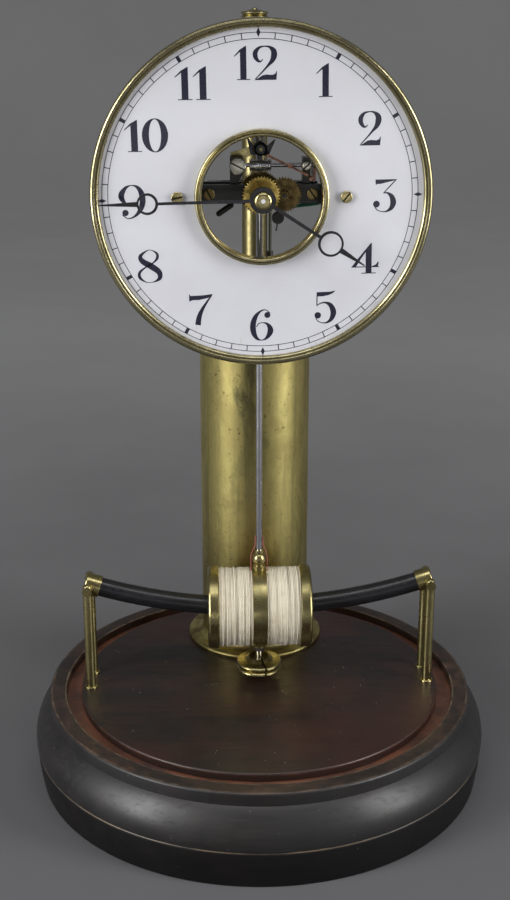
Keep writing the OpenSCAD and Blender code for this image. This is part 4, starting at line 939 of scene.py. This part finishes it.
def posts():
    """Four posts with a low collar at the foot and a round end above the cross screw."""
    low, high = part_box("magnet_posts")
    screw_low, screw_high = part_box("magnet_screws")
    top = (screw_low.z + screw_high.z) / 2 + 0.6 * MM
    cad_foot = 4.2 * MM
    core, r, foot, foot_round, foot_t = 0.02 * MM, 2.4 * MM, 3.3 * MM, 0.5 * MM, 1.2 * MM
    base = DISC_TOP_Z
    profile = [(base, core), (base, foot)]
    profile += [(d, q) for q, d in arc(foot - foot_round, base + foot_t - foot_round, foot_round, 0, 90, 4)]
    profile += [(base + foot_t, r)]
    profile += [(d, q) for q, d in arc(0.0, top, r, 0, 85, 8)] + [(top + r, core)]
    made = joined_all([turned_about("post", profile, (x, y, 0.0), (0, 0, 1))
                       for x in (cad_foot - high.x, high.x - cad_foot)
                       for y in (low.y + cad_foot, high.y - cad_foot)])
    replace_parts(new_piece("turned_posts", made, FINISHES["brass"], "clock"), "magnet_posts")


def sloped_yoke():
    """The yoke with its top falling away to the back, so that it stays hidden behind the front bar."""
    low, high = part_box("frame_yoke")
    level, slope, least = 4.5 * MM, 0.125, 1.6 * MM
    source = nodes["frame_yoke"]
    mesh = source.data.copy()
    mesh.transform(source.matrix_world)
    for corner in mesh.vertices:
        if corner.co.z > (low.z + high.z) / 2:
            fall = max(0.0, corner.co.y - low.y - level) * slope
            corner.co.z = max(corner.co.z - fall, low.z + least)
    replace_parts(new_piece("sloped_yoke", mesh, FINISHES["black_frame"], "clock"), "frame_yoke")


def lead_bush():
    """The wire bush under the front bar: a disc on a stem, with its pin."""
    drop = 6.6 * MM
    x, y, z = 7.8 * MM, BAR_HIGH.y - 1.4 * MM, BAR_LOW.z - drop
    core, half, disc_r, edge = 0.02 * MM, 1.2 * MM, 2.75 * MM, 0.35 * MM
    stem_r, pin_r, pin_length = 0.7 * MM, 0.35 * MM, 5 * MM
    disc = [(half, core), (half, disc_r - edge), (half - edge, disc_r),
            (edge - half, disc_r), (-half, disc_r - edge), (-half, core)]
    bush = turned_about("bush", disc, (x, y, z), (0, -1, 0))
    stem = turned_about("stem", [(0.0, core), (0.0, stem_r), (drop, stem_r), (drop, core)],
                        (x, y, z), (0, 0, 1), 16)
    pin = turned_about("pin", [(0.0, core), (0.0, pin_r), (pin_length, pin_r), (pin_length, core)],
                       (x, y, z - 1 * MM), (-0.16, 0, -1), 12)
    made = new_piece("lead_bush", joined_all([bush, stem, pin]), FINISHES["ebonite"], "clock")
    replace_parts(made, "lead_terminal")


def wire(name, points, radius, finish, body):
    """A round wire along a smooth line, with closed ends."""
    curve = bpy.data.curves.new(name, "CURVE")
    curve.dimensions = "3D"
    curve.bevel_depth = radius
    curve.bevel_resolution = 3
    curve.use_fill_caps = True
    spline = curve.splines.new("POLY")
    line = smooth_line([tuple(p) for p in points])
    spline.points.add(len(line) - 1)
    for spot, at in zip(spline.points, line):
        spot.co = (*at, 1.0)
    holder = bpy.data.objects.new("holder", curve)
    bpy.context.scene.collection.objects.link(holder)
    shown = holder.evaluated_get(bpy.context.evaluated_depsgraph_get())
    mesh = bpy.data.meshes.new_from_object(shown)
    bpy.data.objects.remove(holder)
    mesh.shade_smooth()
    new_piece(name, mesh, finish, body)


def coil_leads():
    """Two red silk leads that come off the rod above the ball and enter the windings beside it."""
    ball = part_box("rod_ball")
    rod, top = PENDULUM, ball[1].z
    lead_r = 0.28 * MM
    for side, name in ((-1, "lead_left"), (1, "lead_right")):
        wire("coil_" + name, [
            (rod.x + side * 1.93 * MM, rod.y - 0.3 * MM, top + 7.5 * MM),
            (rod.x + side * 1.95 * MM, rod.y - 0.3 * MM, top + 2.6 * MM),
            (rod.x + side * 3.0 * MM, rod.y + 0.2 * MM, top - 0.4 * MM),
            (rod.x + side * 3.95 * MM, rod.y + 0.6 * MM, top - 3.5 * MM),
            (rod.x + side * 4.0 * MM, rod.y + 0.6 * MM, top - 7.0 * MM),
            (rod.x + side * 4.1 * MM, rod.y, COIL.z + WINDING_R - 1.5 * MM),
        ], lead_r, RED_SILK, "pendulum")


# Stage, lights and camera

def floor_and_backdrop():
    """A plain grey floor that rises all round into a backdrop, far enough away for a view from any side;
    painted shade darkens the floor in front.
    """
    reach, bend, high, steps, sides = 2.2, 0.8, 3.0, 12, 96
    line = [(0.5, 0.0), (1.2, 0.0), (reach, 0.0)]
    line += [(reach + bend * math.sin(a), bend - bend * math.cos(a))
             for a in (math.pi / 2 * i / steps for i in range(1, steps + 1))]
    line.append((reach + bend, high))
    turns = [2 * math.pi * i / sides for i in range(sides)]
    points = [(0.0, 0.0, 0.0)] + [(r * math.cos(a), r * math.sin(a), z) for r, z in line for a in turns]
    faces = [(0, 1 + i, 1 + (i + 1) % sides) for i in range(sides)]
    for ring in range(len(line) - 1):
        a, b = 1 + ring * sides, 1 + (ring + 1) * sides
        faces += [(a + i, b + i, b + (i + 1) % sides, a + (i + 1) % sides) for i in range(sides)]
    mesh = bpy.data.meshes.new("floor")
    mesh.from_pydata(points, [], faces)
    mesh.shade_smooth()
    f = Finish("floor", Roughness=0.8)
    cloth = f.mix(f.band(f.noise(2.6, 4.0, 0.6), 0.35, 0.65), rgb(0.135, 0.135, 0.14), rgb(0.165, 0.165, 0.17))
    # Painted shade: the floor darker in front of the object.
    near = f.band(f.axis(1), 0.25, -0.25, 0.0, 0.5)
    f.colour(f.mix(near, cloth, rgb(0.085, 0.085, 0.094)))
    f.bump(f.noise(900.0, 3.0, 0.6), 0.1 * MM, 0.2)
    path = f.node("ShaderNodeLightPath").outputs
    seen = f.math("MAXIMUM", path["Is Camera Ray"], f.math("MAXIMUM", path["Is Glossy Ray"],
                                                           path["Is Transmission Ray"]))
    glow = f.math("MULTIPLY", f.band(f.distance((1.0, 1.0, 1.0)), 0.1, 1.0, 0.0, 0.105), seen)
    f.tree.links.new(glow, f.shader.inputs["Emission Strength"])
    f.shader.inputs["Emission Color"].default_value = rgb(1.0, 1.0, 1.01)
    mesh.materials.append(f.material)
    floor = bpy.data.objects.new("floor", mesh)
    bpy.context.scene.collection.objects.link(floor)


def lamp(name, at, aim, size, power):
    """A soft rectangular studio lamp."""
    data = bpy.data.lights.new(name, "AREA")
    data.shape = "RECTANGLE"
    data.size, data.size_y = size
    data.energy = power
    made = bpy.data.objects.new(name, data)
    made.location = at
    made.rotation_euler = (Vector(aim) - Vector(at)).to_track_quat("-Z", "Y").to_euler()
    bpy.context.scene.collection.objects.link(made)


def lights():
    """A lamp on each side, one above, a weak panel in front and a dim room."""
    lamp("left_lamp", (-1.05, -0.62, 0.46), (0, 0, 0.2), (0.5, 1.1), 15.5)
    lamp("right_lamp", (1.05, -0.56, 0.46), (0, 0, 0.2), (0.42, 1.1), 12.0)
    lamp("top_lamp", (0.0, -0.45, 1.5), (0, 0, 0.1), (1.3, 0.6), 6.4)
    lamp("front_panel", (0.1, -1.5, 0.12), (0, 0, 0.22), (0.5, 0.22), 0.3)
    world = bpy.data.worlds.new("studio")
    world.use_nodes = True
    world.node_tree.nodes["Background"].inputs["Color"].default_value = rgb(0.62, 0.63, 0.65)
    world.node_tree.nodes["Background"].inputs["Strength"].default_value = 0.17
    bpy.context.scene.world = world


def camera():
    """The photograph's viewpoint, from its ellipses."""
    data = bpy.data.cameras.new("camera")
    data.lens = 54.22
    made = bpy.data.objects.new("camera", data)
    made.location = (-0.0281, -0.6262, 0.379)
    made.rotation_euler = (math.radians(71.52), 0.0, math.radians(-2.375))
    bpy.context.scene.collection.objects.link(made)
    bpy.context.scene.camera = made


camera()
dress_cad_nodes()
hour_figures()
minute_track()
turned_base()
posts()
screws()
sloped_yoke()
lead_bush()
winding(-1)
winding(1)
coil_leads()
floor_and_backdrop()
lights()
bpy.context.scene.view_settings.view_transform = "Standard"
